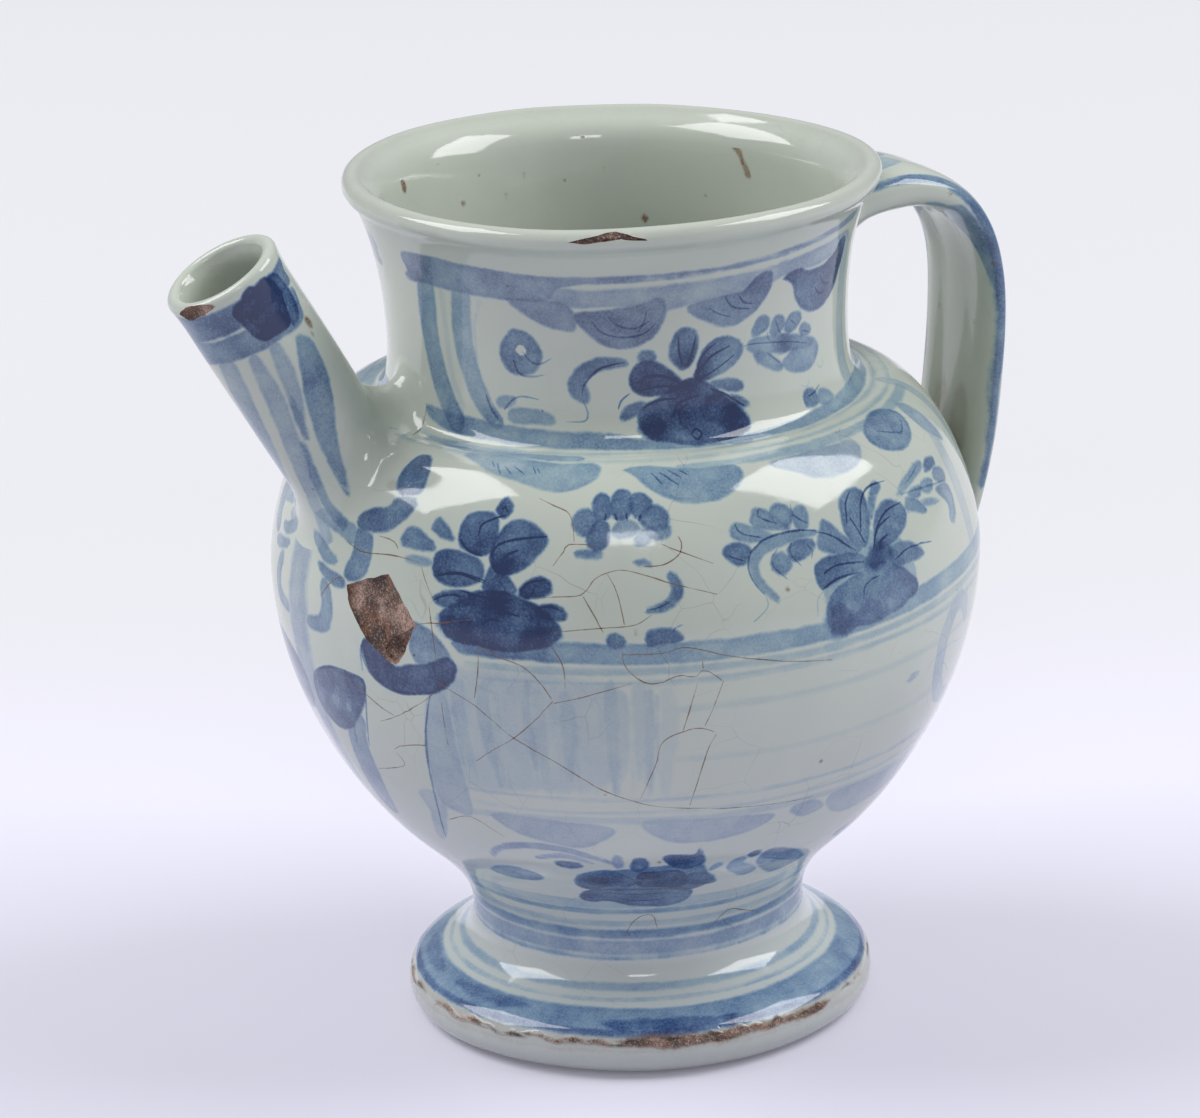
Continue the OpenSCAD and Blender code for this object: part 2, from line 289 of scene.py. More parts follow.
def only(piece):
    """Selects one piece and makes it the active one."""
    deselect()
    piece.select_set(True)
    bpy.context.view_layer.objects.active = piece


def spun(name, line, closed):
    """A line of radius and height in millimetres, extruded from one vertex and spun round the axis."""
    deselect()
    bpy.ops.mesh.primitive_plane_add(size=MM)
    piece = bpy.context.object
    piece.name = piece.data.name = name
    bpy.ops.object.mode_set(mode="EDIT")
    bpy.ops.mesh.merge(type="CENTER")
    place = Vector((line[0, 0] * MM, 0, line[0, 1] * MM))
    bpy.ops.transform.translate(value=place)
    for radius, height in line[1:]:
        there = Vector((radius * MM, 0, height * MM))
        bpy.ops.mesh.extrude_region_move(TRANSFORM_OT_translate={"value": there - place})
        place = there
    bpy.ops.mesh.select_all(action="SELECT")
    if closed:
        bpy.ops.mesh.remove_doubles(threshold=1e-6)
        bpy.ops.mesh.select_all(action="SELECT")
    bpy.ops.mesh.spin(steps=ROUND_STEPS, angle=math.tau, center=(0, 0, 0), axis=(0, 0, 1))
    bpy.ops.mesh.select_all(action="SELECT")
    bpy.ops.mesh.remove_doubles(threshold=1e-6)
    bpy.ops.mesh.normals_make_consistent(inside=False)
    bpy.ops.object.mode_set(mode="OBJECT")
    return piece


def lofted(name, rings, joined):
    """A skin through rings of points in millimetres, each extruded from the last.
    The two end rings are joined to each other, or each is filled."""
    deselect()
    bpy.ops.mesh.primitive_circle_add(vertices=len(rings[0]), radius=MM, fill_type="NOTHING")
    piece = bpy.context.object
    piece.name = piece.data.name = name
    bpy.ops.object.mode_set(mode="EDIT")
    mesh = bmesh.from_edit_mesh(piece.data)
    last = list(mesh.verts)
    put(last, rings[0])
    for ring in rings[1:]:
        order = {tuple(v.co): k for k, v in enumerate(last)}
        bpy.ops.mesh.extrude_region_move()
        mesh = bmesh.from_edit_mesh(piece.data)
        fresh = [v for v in mesh.verts if v.select]
        last = sorted(fresh, key=lambda v: order[tuple(v.co)])
        put(last, ring)
    bpy.ops.mesh.select_all(action="DESELECT")
    mesh = bmesh.from_edit_mesh(piece.data)
    for edge in mesh.edges:
        edge.select_set(edge.is_boundary)
    bmesh.update_edit_mesh(piece.data)
    if joined:
        bpy.ops.mesh.bridge_edge_loops()
    else:
        bpy.ops.mesh.edge_face_add()
    bpy.ops.mesh.select_all(action="SELECT")
    bpy.ops.mesh.normals_make_consistent(inside=False)
    bpy.ops.object.mode_set(mode="OBJECT")
    return piece


def put(verts, points):
    """Moves vertices to points in millimetres, in order."""
    for vert, point in zip(verts, points):
        vert.co = Vector(point) * MM


def wobbled(piece):
    """Gives a piece the slight unevenness of clay that was shaped by hand."""
    only(piece)
    cloud = bpy.data.textures.get("clay wobble") or bpy.data.textures.new("clay wobble", "CLOUDS")
    cloud.cloud_type = "COLOR"
    cloud.noise_scale = WOBBLE_SIZE
    cloud.noise_depth = 1
    push = piece.modifiers.new("wobble", "DISPLACE")
    push.texture = cloud
    push.texture_coords = "GLOBAL"
    push.direction = "RGB_TO_XYZ"
    push.strength = WOBBLE
    push.mid_level = 0.5
    bpy.ops.object.modifier_apply(modifier=push.name)


def sagged(piece):
    """Lets the lip go a little out of round at the back, as it did in the kiln."""
    only(piece)
    bpy.ops.object.mode_set(mode="EDIT")
    mesh = bmesh.from_edit_mesh(piece.data)
    for vert in mesh.verts:
        turned = math.atan2(vert.co.x, -vert.co.y)
        behind = (1 - math.cos(turned - math.radians(VIEW_TURN))) / 2
        high = min(1, max(0, (vert.co.z / MM - SAG_FROM) / SAG_RUN)) ** 1.5
        shift = SAG * MM * math.cos(2 * (turned + math.radians(SAG_TURN))) * behind * high
        vert.co.x += shift * math.sin(turned)
        vert.co.y -= shift * math.cos(turned)
    bmesh.update_edit_mesh(piece.data)
    bpy.ops.object.mode_set(mode="OBJECT")


def finished(piece, node, finish):
    """Smooths a piece, gives it its finish and ties it to the frame."""
    only(piece)
    bpy.ops.object.shade_smooth_by_angle(angle=math.radians(SHARP))
    piece.data.materials.clear()
    piece.data.materials.append(finish)
    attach(piece, "root")
    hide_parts(node)
    deselect()


# Finishes

# How strongly the glaze shines, and how rough bare clay is
GLAZE_IOR, CLAY_ROUGHNESS = 1.6, 0.75


class Board:
    """Places and joins the nodes of a material or a node group."""

    def __init__(self, tree):
        self.tree = tree

    def add(self, kind, inputs=None, **settings):
        """A new node with its settings made and its inputs filled or joined."""
        node = self.tree.nodes.new("ShaderNode" + kind)
        for name, value in settings.items():
            setattr(node, name, value)
        for key, value in (inputs or {}).items():
            self.plug(node.inputs[key], value)
        return node

    def plug(self, socket, value):
        """Joins a socket to another, or gives it a value."""
        if isinstance(value, bpy.types.NodeSocket):
            self.tree.links.new(value, socket)
        else:
            socket.default_value = value

    def math(self, operation, *values, clamp=False):
        node = self.add("Math", dict(enumerate(values)), operation=operation, use_clamp=clamp)
        return node.outputs[0]

    def vector(self, operation, *values):
        return self.add("VectorMath", dict(enumerate(values)), operation=operation).outputs[0]

    def noise(self, place, scale, detail=2.0, rough=0.5):
        """Soft noise about 0.5; the scale is in spots per metre."""
        node = self.add("TexNoise", {"Vector": place, "Scale": scale, "Detail": detail, "Roughness": rough})
        return node.outputs[0]

    def spread(self, value, low, high, to_low, to_high, smooth_step=False):
        """Maps a range to another and clips it there."""
        node = self.add("MapRange", {"Value": value, "From Min": low, "From Max": high, "To Min": to_low,
                                     "To Max": to_high}, clamp=True)
        node.interpolation_type = "SMOOTHSTEP" if smooth_step else "LINEAR"
        return node.outputs[0]

    def mix(self, share, one, other, blend="MIX"):
        """Mixes two colours."""
        node = self.add("Mix", data_type="RGBA", blend_type=blend)
        for number, value in ((0, share), (6, one), (7, other)):
            self.plug(node.inputs[number], value)
        return node.outputs[2]

    def ramp(self, value, *stops):
        """A colour ramp from pairs of place and linear colour."""
        node = self.add("ValToRGB", {0: value})
        band = node.color_ramp
        while len(band.elements) < len(stops):
            band.elements.new(1)
        for element, (place, tint) in zip(band.elements, stops):
            element.position = place
            element.color = (*tint, 1)
        return node.outputs[0]

    def use(self, group, **inputs):
        """A node group placed with its inputs."""
        node = self.tree.nodes.new("ShaderNodeGroup")
        node.node_tree = group
        for name, value in inputs.items():
            self.plug(node.inputs[name], value)
        return node.outputs


def screen(*values):
    """A screen colour from 0 to 255 as a linear colour with its alpha."""
    return (*(linear(v / 255) for v in values), 1)


def group(name, takes, gives):
    """A new node group with named sockets, its board, and the sockets inside it."""
    tree = bpy.data.node_groups.new(name, "ShaderNodeTree")
    for way, sockets in (("INPUT", takes), ("OUTPUT", gives)):
        for label, kind in sockets.items():
            tree.interface.new_socket(label, in_out=way, socket_type="NodeSocket" + kind)
    source = tree.nodes.new("NodeGroupInput")
    sink = tree.nodes.new("NodeGroupOutput")
    return tree, Board(tree), source.outputs, sink.inputs


def wash_group():
    """One broad brush mark: adds the cube of its cobalt to what is laid already, or bares the clay."""
    tree, board, take, give = group(
        "brush wash",
        {"Mark": "Vector", "Edge": "Float", "Grain": "Float", "Soft": "Float", "Pool": "Float",
         "Laid": "Vector", "Bare": "Float"},
        {"Laid": "Vector", "Bare": "Float"})
    part = board.add("SeparateXYZ", {0: take["Mark"]}).outputs
    away = board.math("ADD", part[0], take["Edge"])
    back = board.math("MULTIPLY", take["Soft"], -1)
    mask = board.spread(away, take["Soft"], back, 0, 1, True)
    rim_inner, rim_outer = -1.7, -0.2
    rim = board.spread(away, rim_inner, rim_outer, 0, 1, True)
    thick = board.math("MULTIPLY_ADD", rim, take["Pool"], take["Grain"])
    amount = board.math("MULTIPLY", part[1], board.math("MULTIPLY", thick, mask))
    blue = board.math("MULTIPLY", amount, board.math("LESS_THAN", part[2], BROWN - 0.5))
    violet = board.math("MULTIPLY", blue, part[2])
    brown = board.math("MULTIPLY", amount, board.math("COMPARE", part[2], BROWN, 0.5))
    bare = board.math("MULTIPLY", mask, board.math("GREATER_THAN", part[2], BARE - 0.5))
    cubes = {k: board.math("POWER", cobalt, 3) for k, cobalt in enumerate((blue, violet))}
    laid = board.add("CombineXYZ", {**cubes, 2: brown}).outputs[0]
    board.plug(give["Laid"], board.vector("ADD", take["Laid"], laid))
    board.plug(give["Bare"], board.math("MAXIMUM", take["Bare"], bare))
    return tree


def merge_group():
    """Washes run together: the cube root of their cubes is little more than the darkest of them."""
    tree, board, take, give = group("merged washes", {"Laid": "Vector"}, {"Laid": "Vector"})
    part = board.add("SeparateXYZ", {0: take["Laid"]}).outputs
    roots = {k: board.math("POWER", part[k], 1 / 3) for k in (0, 1)}
    board.plug(give["Laid"], board.add("CombineXYZ", {**roots, 2: part[2]}).outputs[0])
    return tree


def line_group():
    """One fine line: cobalt from the point of the brush, or a brown crack."""
    tree, board, take, give = group(
        "fine line", {"Mark": "Vector", "Edge": "Float", "Grain": "Float", "Laid": "Vector"},
        {"Laid": "Vector"})
    part = board.add("SeparateXYZ", {0: take["Mark"]}).outputs
    away = board.math("SUBTRACT", board.math("ABSOLUTE", part[0]), part[1])
    ragged, soft = 0.3, 0.13
    away = board.math("MULTIPLY_ADD", take["Edge"], ragged, away)
    mask = board.spread(away, soft, -soft, 0, 1, True)
    amount = board.math("MULTIPLY", mask, part[2])
    blue = board.math("MULTIPLY", board.math("MAXIMUM", amount, 0), take["Grain"])
    brown = board.math("MAXIMUM", board.math("MULTIPLY", amount, -1), 0)
    laid = board.add("CombineXYZ", {0: blue, 1: board.math("MULTIPLY", blue, 0.1), 2: brown}).outputs[0]
    board.plug(give["Laid"], board.vector("ADD", take["Laid"], laid))
    return tree


def cobalt_group():
    """Colour of the glaze over the cobalt laid on it, from pale wash to the darkest pools."""
    tree, board, take, give = group(
        "cobalt in glaze", {"Laid": "Vector", "Glaze": "Color"}, {"Colour": "Color"})
    part = board.add("SeparateXYZ", {0: take["Laid"]}).outputs
    depth = board.math("MULTIPLY", part[0], 0.25, clamp=True)
    blue = board.ramp(
        depth, (0, (1, 1, 1)), (0.0625, (0.80, 0.885, 0.96)), (0.125, (0.645, 0.775, 0.915)),
        (0.25, (0.42, 0.585, 0.81)), (0.375, (0.275, 0.425, 0.69)), (0.5, (0.165, 0.285, 0.56)),
        (0.75, (0.058, 0.122, 0.345)), (1, (0.02, 0.05, 0.2)))
    violet = board.ramp(
        depth, (0, (1, 1, 1)), (0.0625, (0.83, 0.875, 0.985)), (0.125, (0.685, 0.755, 0.94)),
        (0.25, (0.46, 0.54, 0.80)), (0.375, (0.31, 0.375, 0.62)), (0.5, (0.205, 0.255, 0.47)),
        (0.75, (0.075, 0.108, 0.29)), (1, (0.028, 0.045, 0.16)))
    share = board.math("DIVIDE", part[1], board.math("MAXIMUM", part[0], 0.02), clamp=True)
    tint = board.mix(share, blue, violet)
    painted = board.mix(1.0, take["Glaze"], tint, "MULTIPLY")
    # Brown of stains and cracks, and of the painted shade under the strap, laid over the glaze
    stain_and_shade = board.math("MULTIPLY", part[2], 0.8, clamp=True)
    brown = board.mix(board.spread(part[2], 0.96, 1.3, 0, 1), screen(116, 80, 38), screen(62, 46, 40))
    board.plug(give["Colour"], board.mix(stain_and_shade, painted, brown))
    return tree


def glaze_group():
    """Tin glaze: cloudy tone, painted light from the pale floor low down, iron specks, pinholes, fine
    crackle and a slightly wavy skin.
    """
    tree, board, take, give = group(
        "tin glaze", {"Tone": "Color", "Crackle": "Float", "Specks": "Float"},
        {"Colour": "Color", "Height": "Float", "Roughness": "Float", "Edge": "Float", "Grain": "Float"})
    place = board.add("TexCoord").outputs["Object"]
    # Spots per metre of each kind of unevenness in the glaze
    clouds, milkiness, specks, crackle, pits, waves, peels = 38, 260, 85, 78, 190, 55, 420
    cloud = board.noise(place, clouds, 3, 0.55)
    milk = board.noise(place, milkiness, 2)
    tone = board.ramp(cloud, (0.25, (0.95, 0.955, 0.945)), (0.5, (1, 1, 1)), (0.78, (1.03, 1.02, 1.0)))
    body = board.mix(1.0, take["Tone"], tone, "MULTIPLY")
    body = board.mix(board.spread(milk, 0.35, 0.75, 0.0, 0.10), body, screen(196, 198, 190))
    # Painted light from the pale floor: the glaze is mixed towards a pale blue-grey low on the jar, most
    # below 3 cm and none above 12 cm
    height = board.add("SeparateXYZ", {0: place}).outputs[2]
    body = board.mix(board.spread(height, 0.03, 0.12, 0.42, 0.0), body, screen(200, 206, 214))

    cell = board.add("TexVoronoi", {"Vector": place, "Scale": specks, "Randomness": 1.0})
    pick = board.add("SeparateColor", {0: cell.outputs["Color"]}).outputs
    chosen = board.math("LESS_THAN", pick[0], take["Specks"])
    wide = board.math("MULTIPLY_ADD", pick[1], 0.025, 0.012)
    spot = board.spread(board.math("SUBTRACT", cell.outputs["Distance"], wide), 0.008, -0.008, 0, 1)
    speck = board.math("MULTIPLY", spot, chosen)
    body = board.mix(board.math("MULTIPLY", speck, 0.75), body, screen(92, 74, 62))

    bend = board.add("TexNoise", {"Vector": place, "Scale": 60.0, "Detail": 2.0}).outputs["Color"]
    bent = board.vector("MULTIPLY_ADD", bend, (0.009, 0.009, 0.009), place)
    net = board.add("TexVoronoi", {"Vector": bent, "Scale": crackle}, feature="DISTANCE_TO_EDGE")
    crack = board.spread(net.outputs["Distance"], 0.002, 0.0085, 1, 0)
    where = board.spread(board.noise(place, 45, 1), 0.46, 0.66, 0, 1)
    crack = board.math("MULTIPLY", board.math("MULTIPLY", crack, where), take["Crackle"])
    body = board.mix(crack, body, screen(122, 112, 98))

    pit = board.add("TexVoronoi", {"Vector": place, "Scale": pits})
    pit_pick = board.add("SeparateColor", {0: pit.outputs["Color"]}).outputs[0]
    hole = board.math("MULTIPLY", board.spread(pit.outputs["Distance"], 0.05, 0.11, 1, 0),
                      board.math("LESS_THAN", pit_pick, 0.035))
    body = board.mix(board.math("MULTIPLY", hole, 0.45), body, screen(104, 92, 78))

    wave = board.math("MULTIPLY", board.noise(place, waves, 1), 0.35)
    peel = board.math("MULTIPLY_ADD", board.noise(place, peels, 1), 0.018, wave)
    dip = board.math("MULTIPLY_ADD", hole, -0.05, peel)
    board.plug(give["Colour"], body)
    board.plug(give["Height"], board.math("MULTIPLY_ADD", crack, -0.015, dip))
    board.plug(give["Roughness"], board.spread(milk, 0.3, 0.75, 0.05, 0.13))
    ragged = board.math("SUBTRACT", board.noise(place, 700, 3, 0.6), 0.5)
    swell = board.math("SUBTRACT", board.noise(place, 170, 2), 0.5)
    board.plug(give["Edge"], board.math("MULTIPLY_ADD", swell, 0.9, board.math("MULTIPLY", ragged, 0.55)))
    fine = board.spread(board.noise(place, 1900, 2, 0.6), 0.25, 0.75, 0.72, 1.28)
    patch = board.spread(board.noise(place, 130, 3, 0.6), 0.28, 0.72, 0.6, 1.4)
    board.plug(give["Grain"], board.math("MULTIPLY", fine, patch))
    return tree


def clay_group():
    """Bare buff clay, browned by handling, with dark and pale patches and a rough skin."""
    tree, board, take, give = group("bare clay", {"Tone": "Color"}, {"Colour": "Color", "Height": "Float"})
    place = board.add("TexCoord").outputs["Object"]
    patch = board.noise(place, 120, 3, 0.6)
    grit = board.noise(place, 2200, 3, 0.7)
    shade = board.ramp(patch, (0.4, (0.38, 0.31, 0.28)), (0.47, (0.8, 0.66, 0.58)),
                       (0.53, (1.5, 1.4, 1.36)), (0.59, (2.6, 2.6, 2.6)))
    body = board.mix(1.0, take["Tone"], shade, "MULTIPLY")
    rust = board.spread(board.noise(place, 260, 2), 0.5, 0.66, 0, 0.55)
    body = board.mix(rust, body, screen(146, 98, 66))
    body = board.mix(board.spread(grit, 0.36, 0.52, 0.75, 0.0), body, screen(58, 42, 34))
    body = board.mix(board.spread(grit, 0.55, 0.68, 0.0, 0.6), body, screen(214, 198, 188))
    board.plug(give["Colour"], body)
    board.plug(give["Height"], board.math("MULTIPLY_ADD", grit, 0.25, board.math("MULTIPLY", patch, 0.5)))
    return tree


def shared(make):
    """The node group that a function makes, made once."""
    made = bpy.data.node_groups.get(make.__name__)
    if not made:
        made = make()
        made.name = make.__name__
    return made


def glazed(name, crackle, specks):
    """Painted tin glaze for one piece, with bare clay where the glaze is lost."""
    tints = bpy.context.scene.jar_colours
    finish = bpy.data.materials.new(name)
    finish.use_nodes = True
    board = Board(finish.node_tree)
    shader = finish.node_tree.nodes["Principled BSDF"]
    shader.inputs["IOR"].default_value = GLAZE_IOR
    glaze = board.use(shared(glaze_group), Tone=(*tints.glaze, 1), Crackle=crackle, Specks=specks)
    clay = board.use(shared(clay_group), Tone=(*tints.clay, 1))
    laid, bare = (0, 0, 0), board.add("Attribute", attribute_name="bare_clay").outputs["Fac"]
    for kind, soft, pool in (("band", 0.6, 0.1), ("wash", 0.5, 0.14)):
        for number in range(Painter.ROOM[kind]):
            mark = board.add("Attribute", attribute_name="%s_%d" % (kind, number)).outputs["Vector"]
            out = board.use(shared(wash_group), Mark=mark, Edge=glaze["Edge"], Grain=glaze["Grain"],
                            Soft=soft, Pool=pool, Laid=laid, Bare=bare)
            laid, bare = out["Laid"], out["Bare"]
    laid = board.use(shared(merge_group), Laid=laid)["Laid"]
    for number in range(Painter.ROOM["line"]):
        mark = board.add("Attribute", attribute_name="line_%d" % number).outputs["Vector"]
        laid = board.use(shared(line_group), Mark=mark, Edge=glaze["Edge"], Grain=glaze["Grain"],
                         Laid=laid)["Laid"]
    painted = board.use(shared(cobalt_group), Laid=laid, Glaze=glaze["Colour"])["Colour"]
    board.plug(shader.inputs["Base Color"], board.mix(bare, painted, clay["Colour"]))
    board.plug(shader.inputs["Roughness"], board.spread(bare, 0, 1, glaze["Roughness"], CLAY_ROUGHNESS))
    skin = board.math("MULTIPLY", glaze["Height"], board.math("SUBTRACT", 1, bare))
    rough = board.math("MULTIPLY_ADD", clay["Height"], bare, skin)
    bump = board.add("Bump", {"Height": rough, "Distance": MM, "Strength": 1.0})
    board.plug(shader.inputs["Normal"], bump.outputs[0])
    return finish


# Painting

# Distance of a mark that is nowhere near, and how far past its edge a mark still counts, in millimetres
FAR = 100
REACH = 1.2
# Hues past the blues stand for brown stains, also used for a painted shade under the strap, and for bare
# clay
BROWN, BARE = 2, 3
# Room that is left round a mark when its faces are looked for, and how near its skin a piece is painted
MARGIN, SKIN = 5.0, 2.5
# Points with a smaller y are at the front
FRONT = 2
# Radius by which degrees are measured inside the neck
INSIDE_RADIUS = 50
# Roundness of the strap's edge, past which its faces begin
STRAP_EDGE = 2.5


class Mark:
    """One brush mark: its line in degrees round the piece and millimetres up it, and its colour."""

    def __init__(self, kind, density, hue, place, widths=None, pool=None, front=False, soft=1):
        self.kind, self.density, self.hue = kind, density, hue
        self.place = np.array(place, float).reshape(-1, 2)
        self.widths, self.pool, self.front, self.soft = widths, pool, front, soft
        self.height = self.place[:, 1].mean()

    def box(self, per_degree):
        """Lowest and highest place that the mark may touch."""
        wide = max(self.widths) / 2 if self.widths else 0
        room = np.array([(MARGIN + wide) / per_degree, MARGIN + wide])
        return self.place.min(0) - room, self.place.max(0) + room

    def measure(self, across, up, per_degree):
        """Distance from the mark's edge, below 0 inside it, and the three values that its finish reads."""
        points = np.stack([across * per_degree, up], 1)
        line = self.place * [per_degree, 1]
        if self.kind == "line":
            offset, half = off_line(points, smooth(line, False), self.widths)
            return np.abs(offset) - half, offset, half, np.full(len(points), float(self.density))
        if self.kind == "band":
            order = np.argsort(self.place[:, 0])
            middle = np.interp(across, self.place[order, 0], self.place[order, 1])
            away = np.abs(up - middle) - self.widths[0] / 2
        elif self.widths:
            offset, half = off_line(points, smooth(line, False), self.widths)
            away = np.abs(offset) - half
        else:
            away = from_outline(points, smooth(line, True))
        strength = np.full(len(points), float(self.density))
        if self.pool:
            spot = np.array([self.pool[0] * per_degree, self.pool[1]])
            off = np.linalg.norm(points - spot, axis=1) / self.pool[2]
            strength += self.pool[3] * np.exp(-off * off)
        away = away / self.soft
        return away, away, strength, np.full(len(points), float(self.hue))


def smooth(line, closed, steps=6):
    """A smooth line through all the points, closed or open."""
    if closed:
        ends = np.vstack([line[-1:], line, line[:2]])
    else:
        ends = np.vstack([2 * line[:1] - line[1:2], line, 2 * line[-1:] - line[-2:-1]])
    t = np.linspace(0, 1, steps, endpoint=False)[:, None]
    parts = []
    for a, b, c, d in zip(ends, ends[1:], ends[2:], ends[3:]):
        parts.append(b + 0.5 * t * (c - a + t * (2 * a - 5 * b + 4 * c - d + t * (3 * (b - c) + d - a))))
    if not closed:
        parts.append(line[-1:])
    return np.vstack(parts)


def nearest(points, line):
    """For each point, its distance from a line, the line's nearest step and the share of that step."""
    start, step = line[:-1], np.diff(line, axis=0)
    size = np.maximum((step * step).sum(1), 1e-9)
    part = np.clip(((points[:, None] - start) * step).sum(2) / size, 0, 1)
    gap = np.linalg.norm(points[:, None] - start - part[..., None] * step, axis=2)
    best = gap.argmin(1)
    row = np.arange(len(points))
    return gap[row, best], best, part[row, best]


def off_line(points, line, widths):
    """Distance to the left of a stroke's line, and half its width there, which runs out past its ends."""
    gap, best, part = nearest(points, line)
    start, step = line[:-1][best], np.diff(line, axis=0)[best]
    size = np.maximum(np.linalg.norm(step, axis=1), 1e-6)
    step = step / size[:, None]
    rest = points - start
    ahead = (rest * step).sum(1)
    left = step[:, 0] * rest[:, 1] - step[:, 1] * rest[:, 0]
    past = np.where(best == 0, np.maximum(0, -ahead), 0)
    past = past + np.where(best == len(line) - 2, np.maximum(0, ahead - size), 0)
    run = along(line)
    share = (run[best] + part * size) / max(run[-1], 1e-6)
    wide = np.interp(share, np.linspace(0, 1, len(widths)), widths)
    offset = np.where(past > 0, left, np.where(left < 0, -gap, gap))
    return offset, wide / 2 - past


def from_outline(points, line):
    """Distance from a closed outline, below 0 inside it."""
    ring = np.vstack([line, line[:1]])
    gap = nearest(points, ring)[0]
    a, b = ring[:-1], ring[1:]
    above = (a[:, 1] > points[:, 1:2]) != (b[:, 1] > points[:, 1:2])
    rise = np.where(np.abs(b[:, 1] - a[:, 1]) < 1e-9, 1e-9, b[:, 1] - a[:, 1])
    cross = a[:, 0] + (points[:, 1:2] - a[:, 1]) / rise * (b[:, 0] - a[:, 0])
    inside = (above & (points[:, :1] < cross)).sum(1) % 2 == 1
    return np.where(inside, -gap, gap)


def blot(density, hue, *place, **more):
    """A filled shape inside an outline."""
    return Mark("wash", density, hue, place, **more)


def ribbon(density, hue, widths, *place, **more):
    """A broad stroke along a line."""
    return Mark("wash", density, hue, place, widths=widths, **more)


def hair(density, width, *place):
    """A fine dark line drawn with the point of the brush."""
    return Mark("line", density, 0, place, widths=(width * 0.6, width, width, width * 0.4))


def craze(*place):
    """A crack in the glaze, stained brown, on the front only; a density below 0 stands for brown."""
    return Mark("line", -1.2, 0, place, widths=(0.12, 0.22, 0.18, 0.12), front=True)


def hoop(density, hue, width, *place):
    """A line drawn on the wheel, right round the piece."""
    return Mark("band", density, hue, place, widths=(width,))


def level_hoop(density, hue, width, up):
    """A hoop that stays at one height."""
    return hoop(density, hue, width, -90, up, 90, up)


class Painter:
    """Finds the marks that touch each face of a piece and stores them for its finish."""
    ROOM = {"wash": 8, "line": 3, "band": 3}

    def __init__(self, piece):
        mesh = piece.data
        self.mesh = mesh
        self.points = np.empty(len(mesh.vertices) * 3)
        mesh.vertices.foreach_get("co", self.points)
        self.points = self.points.reshape(-1, 3) / MM
        self.corner = np.empty(len(mesh.loops), int)
        mesh.loops.foreach_get("vertex_index", self.corner)
        self.first = np.empty(len(mesh.polygons), int)
        mesh.polygons.foreach_get("loop_start", self.first)
        total = np.empty(len(mesh.polygons), int)
        mesh.polygons.foreach_get("loop_total", total)
        self.face_of = np.repeat(np.arange(len(total)), total)
        empty = np.tile(np.array([FAR, 0, 0.0]), (len(self.corner), 1))
        self.seats = {kind: [empty.copy() for _ in range(room)] for kind, room in self.ROOM.items()}
        self.used = {kind: np.zeros(len(total), int) for kind in self.ROOM}
        self.left_out = 0

    def lay(self, across, up, usable, marks, radius_at):
        """Lays marks on the vertices at those degrees and millimetres."""
        for mark in marks:
            per_degree = math.radians(radius_at(mark.height))
            low, high = mark.box(per_degree)
            close = usable & (up > low[1]) & (up < high[1])
            if mark.kind != "band":
                close &= (across > low[0]) & (across < high[0])
            if mark.front:
                close &= self.points[:, 1] < FRONT
            which = np.flatnonzero(close)
            if len(which):
                self.seat(mark.kind, which, *mark.measure(across[which], up[which], per_degree))

    def seat(self, kind, which, away, *values):
        """Stores one mark on the faces that it touches."""
        reach = np.full(len(self.points), float(FAR))
        reach[which] = away
        kept = np.tile(np.array([FAR, 0, 0.0]), (len(self.points), 1))
        kept[which] = np.stack(values, 1)
        faces = np.minimum.reduceat(reach[self.corner], self.first) < REACH
        free = self.used[kind] < self.ROOM[kind]
        self.left_out += int((faces & ~free).sum())
        faces &= free
        for number, store in enumerate(self.seats[kind]):
            here = faces & (self.used[kind] == number)
            at = np.flatnonzero(here[self.face_of])
            store[at] = kept[self.corner[at]]
        self.used[kind][faces] += 1

    def store(self):
        """Writes the marks on the mesh."""
        for kind, stores in self.seats.items():
            for number, store in enumerate(stores):
                layer = self.mesh.attributes.new("%s_%d" % (kind, number), "FLOAT_VECTOR", "CORNER")
                layer.data.foreach_set("vector", store.ravel())
        print(self.mesh.name, "marks left out:", self.left_out)


def jar_places(painter, lines):
    """Degrees round the jar, the same front and back, millimetres up it, and which vertices lie on it."""
    away, place, _ = lines.near(painter.points)
    across = np.degrees(np.arctan2(painter.points[:, 0], np.abs(painter.points[:, 1])))
    return across, lines.run[place], np.abs(away) < SKIN


def paint_spout(piece, form, lines):
    """Paints the spout: what the jar's own marks leave on its root, and its own marks."""
    painter = Painter(piece)
    painter.lay(*jar_places(painter, lines), spout_ribbon() + shoulder_border(), lines.radius_at)
    rest = painter.points - form.mouth
    depth = -rest @ form.axis
    inward = rest @ form.inward
    angle = -np.degrees(np.arctan2(np.abs(rest[:, 1]), inward))
    outside = np.hypot(inward, rest[:, 1]) > form.size["radius"] - 1
    painter.lay(angle, depth, outside, spout_marks(), lambda up: form.size["radius"])
    painter.store()


def paint_handle(piece, form):
    """Paints the strap along its two edges."""
    painter = Painter(piece)
    way = form.middle(np.linspace(0, 2, 400))
    run = along(way)
    flat = painter.points[:, ::2]
    place = closest(flat, way)
    step = np.gradient(way, axis=0)
    step /= np.linalg.norm(step, axis=1)[:, None]
    rest = flat - way[place]
    through = rest[:, 1] * step[place, 0] - rest[:, 0] * step[place, 1]
    inset = np.maximum(0, form.size["width"] / 2 - STRAP_EDGE - np.abs(painter.points[:, 1]))
    edge = through + np.sign(through) * inset
    painter.lay(edge, run[place], np.full(len(flat), True), handle_marks(), lambda up: math.degrees(1))
    painter.store()


def paint_jar(piece, lines, marks, inside=()):
    """Paints a thrown piece, and stains its inside by degrees right round and height."""
    painter = Painter(piece)
    painter.lay(*jar_places(painter, lines), marks, lines.radius_at)
    if inside:
        away = lines.near(painter.points)[0]
        turned = np.degrees(np.arctan2(painter.points[:, 0], -painter.points[:, 1]))
        painter.lay(turned, painter.points[:, 2], away < -SKIN, inside, lambda up: INSIDE_RADIUS)
    painter.store()


# Motifs of the painting, in degrees from the front towards the handle and millimetres up from the waist

